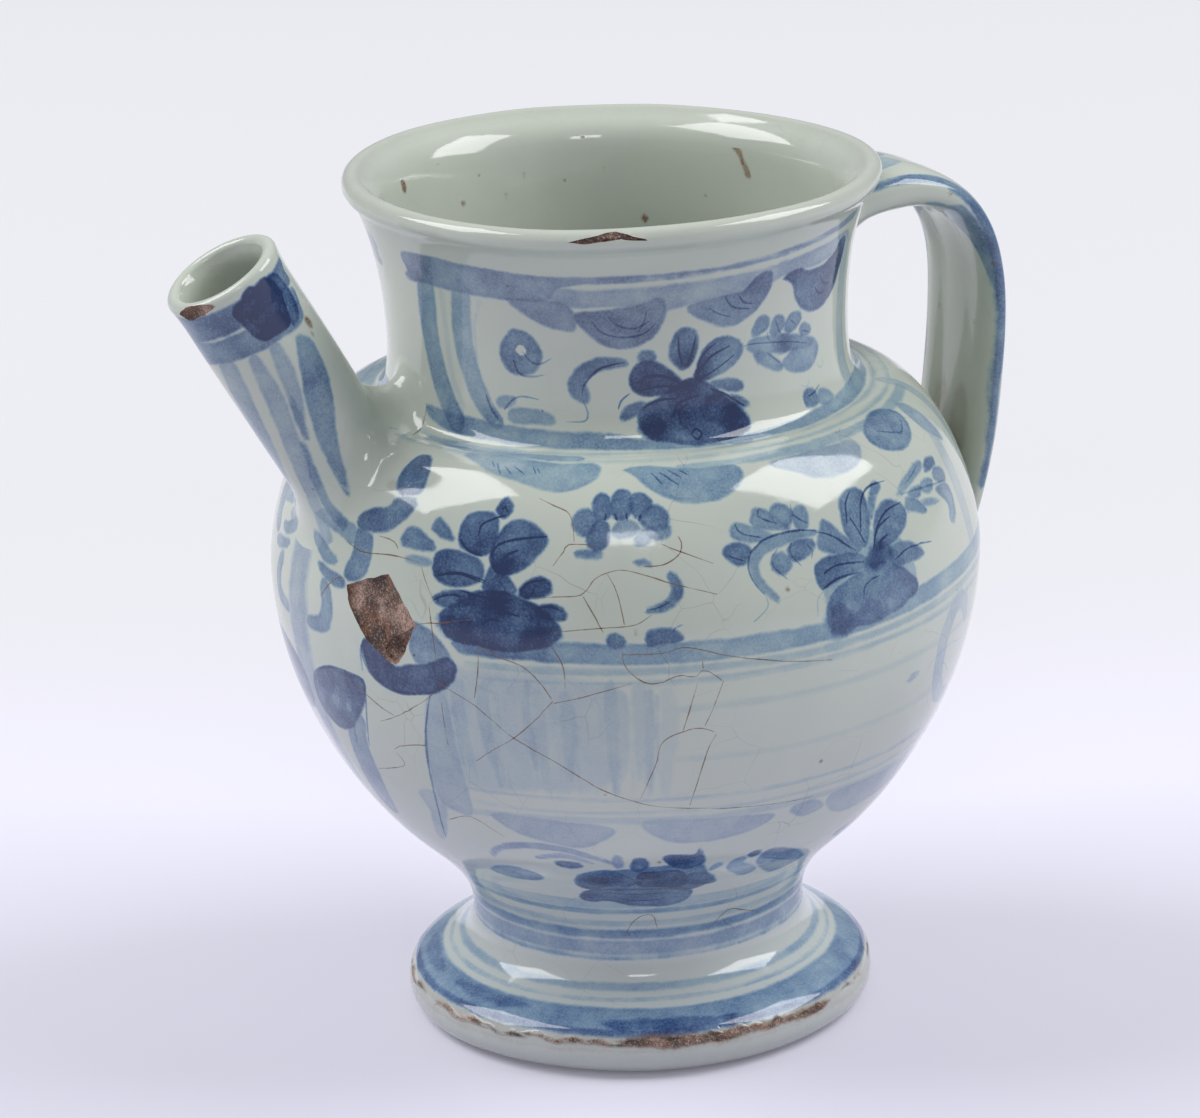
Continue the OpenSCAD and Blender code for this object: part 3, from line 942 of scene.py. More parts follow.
def neck_border():
    """Wash under the lip with its hanging scallops."""
    return [
        blot(1.16, 0.75, -83, 184.8, -81.6, 187, -83, 189.5, -80, 191.8, -68, 192.2, -55, 191.6,
             -42, 190.8, -30, 190.5, -10, 190.7, 5, 191.1, 20, 192.1, 35, 194, 43, 195.5, 43, 193,
             30, 191.6, 15, 190.2, 0, 189.5, -15, 189, -32, 188.6, -38, 187.4, -41, 184.4, -50, 184,
             -62, 184.2, -72, 184.6, pool=(-77, 187, 7, 0.45)),
        blot(0.8, 0.8, -43, 187.6, -30, 187.3, -15, 187.5, 0, 187.9, 15, 188.6, 30, 189.6, 41, 190.6,
             44, 188, 38, 185.8, 28, 185.2, 20, 185.4, 14, 184.2, 8, 182.5, -5, 182.5, -14, 181.6,
             -25, 183, -36, 183),
        blot(1.13, 0.9, -51, 184.5, -46, 180.5, -41, 178, -36, 177.3, -34.6, 178.5, -35, 182,
             -38, 184.5),
        blot(1.37, 0.75, -35, 181.5, -33, 178, -29, 174.8, -24, 173.3, -18, 174.5, -14.5, 178,
             -13.3, 182.5, -15, 185, -20, 183.5, -26, 182.5, pool=(-27, 176, 6, 0.35)),
        blot(1.29, 0.6, -8.5, 181.5, -5, 178.5, 0, 176.3, 5, 176, 10, 178.5, 13.5, 182.5, 14, 186.5,
             12, 187.8, 9, 187, 6, 184, 0, 183.5, -5, 183, pool=(10.5, 186, 4.5, 1.1)),
        blot(2.17, 0.35, 17, 184.8, 20.5, 182.5, 22.5, 178.5, 26, 175.3, 31, 174, 36, 174.6, 40, 177,
             42.5, 181.5, 42.8, 186, 41, 189, 38.5, 188.8, 36.5, 186, 32, 184.5, 26, 184.5, 22, 186,
             pool=(40, 184, 5, 1.2)),
        hair(1.2, 0.45, -31, 180, -28.5, 177, -24, 175.8, -19, 176.3, -16, 178.6),
        hair(1.0, 0.4, -27, 181, -25, 178.8, -21, 177.8, -17, 179.5),
        hair(1.0, 0.4, -20, 177, -18.5, 179.5, -18, 182),
        hair(1.0, 0.4, -3, 181, 0, 179, 3, 178),
        hair(1.2, 0.45, 1, 183, 3.5, 180.2, 8.5, 179),
        hair(1.1, 0.4, 4.5, 183, 6, 181, 9, 180.2),
        hair(1.2, 0.45, 29.5, 180, 32, 177.6, 36, 177.2),
        hair(1.2, 0.45, 31, 182.5, 34, 179.5, 38, 178.8),
        hair(1.6, 0.8, 39, 184.5, 40.5, 181, 38.5, 177.5),
    ]


def neck_stripes():
    """Two curved stripes beside the spout and the pale one beside the handle."""
    return [
        ribbon(1.12, 0.15, (5.8, 6, 5.6, 5.4, 4.4), -75, 187, -76, 181, -76.5, 175, -75.5, 168,
               -73, 161, -69.5, 156.5, -66.5, 153.4, pool=(-67.6, 154.5, 3.4, 0.9), front=True),
        ribbon(0.88, 0.2, (5, 5.6, 5.3, 5, 3.2), -63.5, 186, -64.5, 180, -65, 174, -64, 168, -61.5, 162,
               -58, 157.5, -55, 155.2, pool=(-56.4, 156, 2.4, 0.9), front=True),
        ribbon(0.18, 0.8, (1.6, 1.4), -70, 184, -70.3, 175, -69.5, 165, -66, 157.5),
        ribbon(0.31, 0.5, (0.9, 0.8), -58.4, 183, -61, 177, -61.5, 170, -60, 163, -58, 160),
        hair(1.2, 0.6, -59, 161.3, -57.6, 158.6, -55, 155.8),
        hair(0.5, 0.35, -79.5, 155, -78, 155.6, -74, 154.5),
        ribbon(0.5, 0.45, (4.2, 5, 5.5, 6), 44, 187, 46.4, 176, 47.2, 165, 49, 153),
        ribbon(0.38, 0.5, (5, 4, 3.2), 57, 185, 58, 170, 60, 154),
    ]


def neck_base():
    """Wash round the foot of the neck."""
    return [
        blot(1.15, 0.15, -80, 156, -72, 156, -65, 155.7, -45, 154.9, -30, 154.6, -20, 152.8, -10, 151.8,
             0, 151.2, 15, 151.1, 30, 152, 50, 153.3, 70, 153.6, 90, 153.6, 90, 150, 70, 149.8,
             50, 149.5, 35, 148.8, 20, 148.5, 5, 149, -8, 149.5, -18, 150, -30, 150.6, -50, 151.2,
             -70, 151.9, -78, 154.3, pool=(-67, 154.3, 4, 0.5)),
        hoop(0.48, 0.1, 1, -90, 150, -20, 149, 20, 147.6, 50, 148, 90, 148),
    ]


def neck_ring_flower():
    """Round flower, comma leaf and small leaves left of the bloom."""
    return [
        blot(1.88, 0.3, -54.5, 171, -53.5, 174.5, -50.5, 176.9, -47, 176.6, -44.2, 174, -43.5, 171,
             -45, 168, -48.5, 166.8, -52, 167),
        blot(-1.86, 0.3, -50.6, 172.4, -48.8, 174, -46.9, 172.8, -48.4, 170.6),
        hair(1.4, 0.5, -51, 170.5, -50.4, 168.4, -49.2, 166.8, -46, 166.6, -43, 167.2),
        hair(1.3, 0.45, -48.6, 172.2, -46.3, 169.8, -44, 169.4, -41, 170.9),
        blot(1.62, 0.25, -25, 171.2, -30, 171.2, -34, 169.5, -37, 166.5, -37.2, 163.5, -35, 161.3,
             -32.5, 161, -32, 163, -33, 166, -30, 168, -26, 168.6, -22.7, 169.3, -23, 170.6),
        hair(1.7, 0.55, -23.5, 170, -28, 169.2, -31, 167.6, -33.4, 165, -34, 162),
        hair(1.0, 0.4, -34, 162, -33, 160, -32.6, 158.4, -33.6, 157, -38, 156.8),
        blot(0.88, 0.2, -56.3, 160.3, -54, 161.5, -50.5, 161.5, -52, 159.5, -55, 158.8),
        hair(1.1, 0.45, -54, 158.4, -52, 160.6, -49, 161.8, -44.4, 161.3),
        blot(0.9, 0.15, -53, 157, -52, 159, -48, 159.5, -43, 159, -40.6, 157.5, -41, 156, -45, 155.9,
             -51, 155.7),
        hair(1.2, 0.7, -44, 159.4, -43.6, 158.8),
    ]


def neck_bloom():
    """The large flower on the front of the neck."""
    return [
        blot(2, 0.15, -12.6, 170.5, -12.4, 174, -10.6, 176.6, -8, 177, -5.6, 175.6, -5.6, 172.6,
             -6.6, 169.4, -8.6, 167.6, -10.6, 168, pool=(-8.6, 169, 2.6, 1.2)),
        blot(1.9, 0.15, -7, 164.4, -6, 168, -4.4, 171.4, -1, 173.6, 2.6, 173.8, 5.6, 172, 6.4, 169.6,
             4.4, 167.2, 0, 165.2, -4, 164.2, pool=(-5, 166, 3, 1.6)),
        blot(1.9, 0.2, -20.4, 170.4, -19.6, 172.4, -17.6, 172.8, -16, 171.6, -16.6, 169.6, -19, 169.4),
        blot(2.6, 0.15, -22.4, 165.6, -21.4, 168.6, -18.4, 170.4, -14.6, 169, -10, 165.4, -8, 163.4,
             -12, 162.4, -17, 162, -21, 163, pool=(-20, 165.4, 3.4, 1)),
        blot(2, 0.2, -25, 157.6, -23.6, 159.8, -20, 161, -18, 159.8, -21, 158, -24, 156.8),
        blot(2.75, 0.15, -20.8, 156, -20, 159.4, -16, 161.4, -12, 164, -7, 165.4, -3, 163.6, 1, 160.6,
             4.6, 157.4, 6.8, 154.4, 6.4, 152, 3, 151, -3, 150.4, -8, 150, -13, 151.4, -18, 152.4,
             pool=(-8, 162.6, 3.4, 1)),
        blot(2.7, 0.1, -20.4, 155.6, -19, 158.4, -16, 158.6, -13.6, 155.6, -15, 152.6, -19, 152.8,
             soft=2),
        blot(3, 0.1, -6, 158, -2, 161.4, 2, 159.6, 6, 155.6, 6.2, 152.4, 2, 151.8, -2, 154, -5.6, 156,
             soft=2),
        blot(1.9, 0.2, -3, 163.4, 0, 164.2, 4, 163.6, 6.4, 162.2, 5.6, 160.8, 2, 161),
        blot(1.9, 0.2, 2, 160.4, 5, 159.6, 7.8, 157.2, 6, 157, 3, 158.2),
        blot(0.94, 0.3, -0.2, 150, 6, 150.5, 4.5, 147.5, 3, 146, 0.5, 148),
        hair(1.7, 0.5, -22.4, 163, -24.5, 161.4, -25.4, 159.4),
        hair(2.4, 0.5, -9, 163.8, -14, 166.4, -19.5, 166.6),
        hair(2.4, 0.5, -9, 163.2, -15, 164.2, -21, 163.4),
        hair(2.3, 0.45, -8.6, 168, -7, 171.4, -6.2, 175),
        hair(2.2, 0.45, -9.6, 168.4, -10.4, 172, -10.4, 175.4),
        hair(2.3, 0.5, -6.5, 165, -3, 169.2, 3, 171.4),
        hair(2.3, 0.45, -6, 164.6, -1, 166.6, 4, 169.2),
        hair(2.1, 0.4, -6.4, 166.4, -4.4, 170.2, -1, 172.6),
        hair(2.5, 0.6, -12.4, 157, -10.6, 160, -5.4, 161.2),
        hair(2.4, 0.5, -10.4, 155.4, -10.8, 158.2, -8, 159.6),
        hair(2.3, 0.5, -3, 162.4, 2, 160, 6.6, 156.8),
        hair(2.3, 0.5, -19.5, 159.5, -15.5, 161, -11, 161),
        hair(2.2, 0.45, -8.5, 152.8, -7.2, 154, -5.9, 152.8, -7.2, 151.5, -8.5, 152.8),
        hair(1.9, 0.4, -5, 150.2, 0, 150.6, 4, 151),
    ]


def neck_sprig():
    """Leafy spray right of the bloom, and the two dabs under it."""
    return [
        blot(1.44, 0.2, 8.7, 172.8, 10.4, 176.2, 13.2, 176.5, 14.3, 174, 10.9, 172.2),
        blot(1.52, 0.2, 14.2, 171.8, 15.9, 175.6, 18.7, 175.2, 19.3, 172.9, 16.4, 171.2),
        blot(1.52, 0.2, 19.1, 171.8, 20.8, 175, 24.2, 175.3, 25.4, 173, 22, 170.7),
        blot(1.44, 0.2, 24.7, 171.1, 27, 172, 29.8, 170.2, 28.7, 168.8, 25.8, 168.8),
        blot(1.21, 0.2, 7.4, 169.8, 9, 171.8, 15.8, 171.6, 22.6, 170.5, 29.5, 168.2, 30.6, 165.7,
             24.9, 165.9, 18.1, 166.6, 13.5, 167.3, 11.2, 165.5, 9.4, 168, pool=(19.5, 168.6, 2.6, 1)),
        blot(1.32, 0.2, 9.8, 169, 13.9, 167.9, 17.3, 165.6, 19.6, 163.3, 17.3, 162.8, 13.9, 164.2,
             10.9, 166.1),
        blot(1.16, 0.2, 18.6, 164.7, 23.6, 167.2, 29.3, 168.1, 32.7, 166.2, 33.4, 164, 30.4, 161.1,
             25.9, 160.7, 21.3, 161.9),
        hair(1.2, 0.45, 6.4, 170.4, 9, 170.6, 16, 169.7, 22, 168.6, 28.4, 166.8),
        hair(1.1, 0.4, 13, 168.2, 18.5, 164.4),
        hair(1.0, 0.4, 13.6, 173.2, 14, 171, 15, 170),
        hair(1.0, 0.4, 16.2, 174.6, 17.5, 172.2, 18.5, 171.2),
        hair(1.0, 0.4, 21, 174, 23.4, 172.2),
        hair(1.0, 0.4, 26, 170.4, 29, 169.4),
        hair(0.3, 0.35, 32, 162, 33.5, 160, 35.4, 160.3, 35.4, 162.4),
        hair(0.25, 0.35, 25, 158, 27.5, 157.2, 28.6, 159),
        blot(1.44, 0.2, 24.9, 153, 25.2, 156, 28.1, 156.6, 30.3, 155, 29.8, 152.8),
        hair(1.1, 0.4, 27, 155, 29.6, 155.3, 32.4, 156.4),
        blot(1.17, 0.2, 30.1, 153.5, 31.8, 155.2, 35.2, 154.7, 37.5, 152.4, 34.1, 151.6, 30.7, 151.8),
    ]


def shoulder_border():
    """Hanging scallops round the top of the shoulder, and their lines."""
    hatches = ((-52.3, 144.2, -50.6, 141.6), (-50.8, 143.6, -48.6, 139.8), (-49, 143, -46.2, 140),
               (-47, 143.2, -43.8, 140.4), (-43, 143.4, -41.6, 140.6), (-42, 143, -41, 141),
               (-19.6, 141, -17.4, 137.3), (-18, 141, -14.4, 136.8), (-16.6, 141.8, -13.6, 138.4),
               (-14, 141, -12, 138.8))
    return [
        ribbon(0.85, 0.15, (2, 3, 3.2, 3), -73, 148.6, -65, 148.3, -50, 147.6, -34, 147),
        blot(0.94, 0.1, -60, 145.5, -55, 142.5, -50, 140, -45, 138.5, -40, 136.6, -36, 136.3, -32, 138,
             -29.5, 140.5, -29.3, 143.5, -31, 145, -38, 144.5, -45, 146, -52, 147),
        blot(1.19, 0.1, -25, 142.5, -23, 140.5, -21, 137.5, -18, 134.5, -14, 132.6, -9, 132.5, -5, 134,
             -2.5, 137, -2, 139.8, -3.5, 141, -8, 141, -15, 142, -20, 143.2,
             pool=(-5.5, 138.4, 4.5, 0.35)),
        blot(0.85, 0.6, 4.2, 138.8, 5.5, 140, 15, 140.3, 22, 139.8, 25, 139.3, 25.7, 137, 24, 134.5,
             20.5, 132.6, 17, 132.3, 12, 133.5, 8, 136, 5, 137.8),
        blot(1.53, 0.15, 29, 137.5, 30, 140, 33, 142, 38, 143.3, 42.5, 142.3, 44.8, 139.5, 44.3, 136,
             41.5, 133, 37, 131.8, 32.5, 133, 30, 135),
        ribbon(0.68, 0.1, (1.6, 2.6, 2.6, 2.6), -14, 142, 0, 141.6, 25, 141.4, 60, 141.6),
        hoop(0.51, 0.05, 1.1, -90, 145.6, -30, 145.4, 20, 144.6, 90, 145),
        hair(1.1, 0.45, 33, 138.5, 38, 136, 39.5, 135.2, 42.5, 137, 43.2, 139.4),
        blot(0.85, 0.2, 47, 140, 48.5, 141.3, 51, 139, 53, 134, 54.5, 127, 52, 128, 48.5, 131.5,
             47, 136),
        ribbon(0.34, 0.8, (4, 6, 6, 5), 50.5, 134, 50, 124, 50, 112, 50.6, 103),
        ribbon(0.51, 0.3, (5, 5, 4), 60, 146, 62, 136, 63, 122),
    ] + [hair(1.3, 0.4, *hatch) for hatch in hatches]


def spout_ribbon():
    """Looped ribbon that hangs from the root of the spout."""
    return [
        blot(1.98, 0.25, -69.5, 139.5, -68.3, 141.8, -66, 142, -64.2, 139.5, -63.3, 135.5, -63.5, 132.8,
             -66, 131.6, -68.5, 131.6, -70, 135),
        blot(1.68, 0.2, -63.5, 131, -63.6, 129, -65.5, 125.5, -68, 123, -71, 122, -75.3, 121.8,
             -75.5, 124.5, -73, 126.8, -69.5, 128.2, -68.5, 130.2, -66, 131.3,
             pool=(-73, 124.5, 3.5, 0.5)),
        blot(0.99, 0.2, -86, 125, -80, 122.8, -75.5, 121.8, -75.3, 117.8, -78, 118.5, -82, 119.5,
             -86, 121.6),
        blot(1.49, 0.2, -75.3, 121.5, -71.5, 121.5, -70.6, 118, -70.8, 113, -73, 110.3, -75.8, 110,
             -76.3, 112, -75, 116),
        blot(1.19, 0.2, -86, 118, -81, 114.8, -78.5, 114, -78.7, 112.3, -82, 112, -86, 115),
        blot(1.39, 0.2, -84, 111.5, -80, 111, -76, 110, -75.5, 108, -77.5, 107.5, -79.8, 108,
             -83, 109.5),
        blot(1.19, 0.3, -86, 95.3, -81, 96, -79, 98.5, -78.4, 102.5, -79.5, 106.5, -81.5, 108.5,
             -82.3, 106, -81.5, 103, -82.5, 99.5, -86, 98),
        blot(1.19, 0.25, -90, 134, -86, 131.8, -83, 129.4, -80.8, 127.8, -82, 127.4, -85.5, 128.6,
             -90, 131),
    ]


def left_bloom():
    """The large flower between the spout and the front."""
    return [
        blot(1.56, 0.15, -64.8, 121, -64, 124.5, -62, 125.2, -59, 123.3, -57.5, 121, -60, 120.3,
             -63, 120.5),
        blot(1.75, 0.15, -59.2, 126, -58.3, 128.2, -56.5, 127.2, -54.3, 124, -56.5, 123.6, -58.8, 125),
        blot(1.17, 0.15, -63.3, 117.5, -62.5, 119, -59, 119.2, -57.5, 118, -60, 116.8),
        blot(2.15, 0.1, -53.6, 126, -53, 129, -51.5, 130.4, -49, 130.9, -47.2, 130, -46.6, 128,
             -46.4, 125, -47.4, 122, -49.2, 120.8, -51.4, 121.4, -53.2, 123,
             pool=(-48.8, 122.4, 3.2, 1.7)),
        blot(2.46, 0.1, -47.6, 131.5, -46.4, 134.6, -45.2, 133.6, -44.6, 131.8, -45.6, 129.6,
             -46.8, 130),
        blot(2.27, 0.1, -47.6, 121, -47, 125, -45, 128.6, -42.6, 129.6, -40, 128.6, -38, 126.4,
             -37.8, 124.6, -39, 122, -41, 119.6, -43.6, 117.6, -46, 117.4,
             pool=(-46.2, 119.6, 3.6, 2.2)),
        blot(2.33, 0.1, -57.8, 118.5, -56.6, 121, -53.5, 121.4, -49.5, 120.4, -48.2, 118, -48.4, 116,
             -50.6, 114.4, -54, 113.6, -57, 115, pool=(-56, 117.6, 3, 0.9)),
        blot(2.6, 0.1, -47.2, 119, -45, 118.6, -43.4, 116, -42.4, 113.6, -46, 112.6, -48.4, 114),
        blot(2.73, 0.1, -57.2, 110.6, -55, 112.4, -51, 113, -49, 111.8, -51, 109.6, -55, 108.8),
        blot(2.86, 0.1, -42.4, 114, -40.6, 116.6, -38.6, 117.6, -37, 116.4, -36.8, 114, -38.6, 112.8,
             -41.4, 112.4, pool=(-41.4, 113.8, 2, 0.9)),
        blot(2.98, 0.1, -39.6, 110.6, -37, 111.8, -34.8, 110.4, -34.6, 108.4, -37, 108, -39, 108.8),
        blot(3.03, 0.1, -55.6, 106.6, -54.6, 109, -51, 112.4, -46, 114, -42, 112.8, -39, 111.4,
             -36.6, 108.6, -35.2, 106, -35.6, 103.8, -37.6, 102, -41, 101, -45, 100.4, -48.6, 101.2,
             -52, 101.4, -54.6, 103, pool=(-45, 111, 3, 0.7)),
        blot(2.7, 0.1, -55.4, 106, -54.2, 108, -51.6, 108.2, -49.4, 106.4, -49.8, 103.6, -52, 101.8,
             -54.6, 103.4, soft=3),
        blot(2.6, 0.1, -42, 104.8, -40.4, 106.6, -37, 106.6, -35.4, 104.6, -37, 102.4, -40.4, 102,
             -41.8, 103, soft=3),
        hair(2.0, 0.5, -56.8, 115.6, -52, 116.8, -47.6, 115.6),
        hair(2.3, 0.5, -53.4, 124.4, -51.6, 122, -48.4, 120.8),
        hair(2.2, 0.45, -50, 125, -49.8, 127.6, -47.6, 129.4, -45.4, 130.4),
        hair(2.4, 0.6, -47.3, 120.8, -46.4, 123.6, -43.4, 125.2, -38, 126.2),
        hair(2.2, 0.45, -45.6, 119, -44.6, 121.6, -42.4, 123),
        hair(2.2, 0.45, -46.8, 131.6, -45.8, 132.4, -45.4, 130.6),
        hair(2.2, 0.5, -56.6, 115.6, -53, 116.8, -48, 115.2),
        hair(2.2, 0.5, -57, 110, -54.4, 111.8, -51.4, 111.6),
        hair(2.2, 0.5, -42, 114, -40.6, 116, -37.6, 116.8),
        hair(2.1, 0.45, -39.4, 110.4, -37, 111, -35, 109.8),
        hair(2.1, 0.5, -48.2, 106, -46.6, 107.6, -44.8, 107),
        hair(2.1, 0.5, -45.4, 108.4, -44, 109.2, -41.6, 108.4),
        hair(2.1, 0.5, -52, 113, -47.6, 112, -43, 112.2),
    ]


def crown_flower():
    """Small flower of round petals at the front, with a comma and two dabs."""
    return [
        blot(1.87, 0.15, -30.6, 133, -29.7, 135.9, -27.8, 135.9, -26.8, 133, -27.3, 130, -29.7, 129.8),
        blot(1.87, 0.15, -27.4, 133.5, -26.2, 136.8, -23.9, 136.5, -23.2, 132.9, -24.3, 129.9,
             -26.8, 129.9),
        blot(1.87, 0.15, -24.2, 133, -23.4, 135.6, -21.3, 135.9, -19.9, 133.6, -21, 130.6, -23.2, 130),
        blot(1.94, 0.15, -22.5, 129.4, -21.3, 132.4, -18.8, 132.8, -17.3, 130.6, -17.8, 127.4,
             -20.7, 127),
        blot(1.56, 0.2, -21.4, 127.7, -17.6, 128.5, -17.4, 125.9, -19.5, 124.7, -21.4, 125.9),
        blot(1.79, 0.15, -34, 129.5, -32.7, 132.3, -30.3, 132.3, -29.1, 129.5, -30.3, 126.7,
             -32.7, 126.5),
        blot(2.03, 0.15, -31.4, 126.6, -29.5, 130.2, -27.4, 129, -27.7, 124.8, -29.5, 122.6,
             -30.8, 123.6),
        blot(1.09, 0.4, -27.3, 127.5, -25.7, 129.9, -23.2, 129.5, -22.3, 126.9, -24.4, 125.7,
             -26.3, 125.7),
        blot(1.09, 0.4, -23.9, 124.3, -22.6, 127.1, -20.5, 127.3, -20.5, 124.9, -22, 123.7),
        ribbon(1.32, 0.15, (1.4, 2.2, 1.4), -33.2, 122.4, -31, 122.4, -28.6, 122.2),
        ribbon(1.32, 0.15, (1.2, 1.7, 0.8), -23.6, 120.3, -22, 120.2, -20.8, 119.6),
        hair(1.5, 0.5, -28, 131.4, -28.3, 129.3),
        hair(1.5, 0.5, -26.6, 131.4, -26, 129),
        hair(1.5, 0.5, -24.6, 131.4, -24.4, 129),
        hair(1.5, 0.5, -22, 131, -22.6, 129.2),
        ribbon(1.79, 0.15, (1.8, 2.4, 2.4, 2, 1.4), -18, 117.3, -17, 115, -17.3, 112.5, -19, 110.6,
               -22, 109.8),
        hair(1.3, 0.4, -18.2, 111.6, -20, 110.4, -22.4, 109.9),
        blot(2.03, 0.15, -28.6, 103, -28, 105, -26.5, 105.4, -25.2, 103.5, -25.5, 101.8, -27.5, 101.5),
        blot(1.79, 0.15, -22.3, 102, -22.2, 105.3, -20.5, 106, -18, 105.8, -16.5, 104, -17, 102.5,
             -20, 102.2),
        hair(1.2, 0.4, -18.4, 104.6, -17.6, 106, -16.2, 106.5),
    ]


def right_spray():
    """Curling leafy spray right of the front."""
    return [
        blot(1.13, 0.15, -7.5, 124.5, -6.6, 126.9, -4.6, 126.6, -1.1, 124.5, 0.1, 122.6, -2.8, 122,
             -6.3, 122.8),
        blot(1.41, 0.15, -3.7, 126.6, -2.1, 129.5, 0, 128.6, 2.3, 126, 3.7, 123.7, 1.2, 123.7,
             -2.3, 124.8),
        blot(1.58, 0.15, 0.2, 127.6, 1.9, 129.8, 4, 128.8, 4.6, 125.9, 3.1, 124.1, 0.8, 125),
        blot(1.35, 0.15, 4.3, 126.1, 5.4, 128.1, 7.2, 128.1, 7.5, 125.8, 6.6, 122.6, 4.8, 123.2),
        blot(1.94, 0.15, -9.1, 120.6, -8.2, 122.5, -5.3, 122.3, -4.1, 120.3, -5.9, 117.4, -7.6, 118),
        blot(1.5, 0.15, -1.5, 115.9, -0.5, 118.9, 1.5, 118.9, 2.5, 115.9, 0.6, 114),
        blot(1.71, 0.15, 1.9, 118.5, 3.3, 120.8, 6.8, 120.6, 7.4, 118.8, 5.1, 116.7, 2.8, 116.5),
        ribbon(1.13, 0.15, (1.4, 2.2, 3, 2.8, 2, 1.4), 8, 121.6, 3, 122, -2, 120.8, -4.2, 117,
               -3.2, 112.6, -0.8, 108.8),
        hair(1.4, 0.5, 9, 121.8, 4, 123, -1, 122.5, -4, 120.5, -5.2, 117, -4.5, 113.5, -3, 110.5),
        hair(0.8, 0.35, -3, 110.5, -2.7, 108, -5.4, 105),
        hair(1.3, 0.4, -6.3, 127, -5.5, 124.5, -2, 122.8),
        hair(1.3, 0.4, -1.2, 129.2, -1.8, 127.5, 1.8, 125),
        hair(1.1, 0.4, 4.8, 128.8, 4.7, 126.5, 7, 124),
        hair(1.3, 0.4, -8.5, 120.2, -5.5, 118.3),
        hair(1.0, 0.35, 0.5, 120, -1, 118, -0.5, 115.5, 1.7, 112.5),
        hair(1.0, 0.35, 3.2, 121, 2.5, 118.5, 4.3, 114.8),
        hair(1.1, 0.4, 5.6, 120, 6.7, 118, 6, 116),
    ]


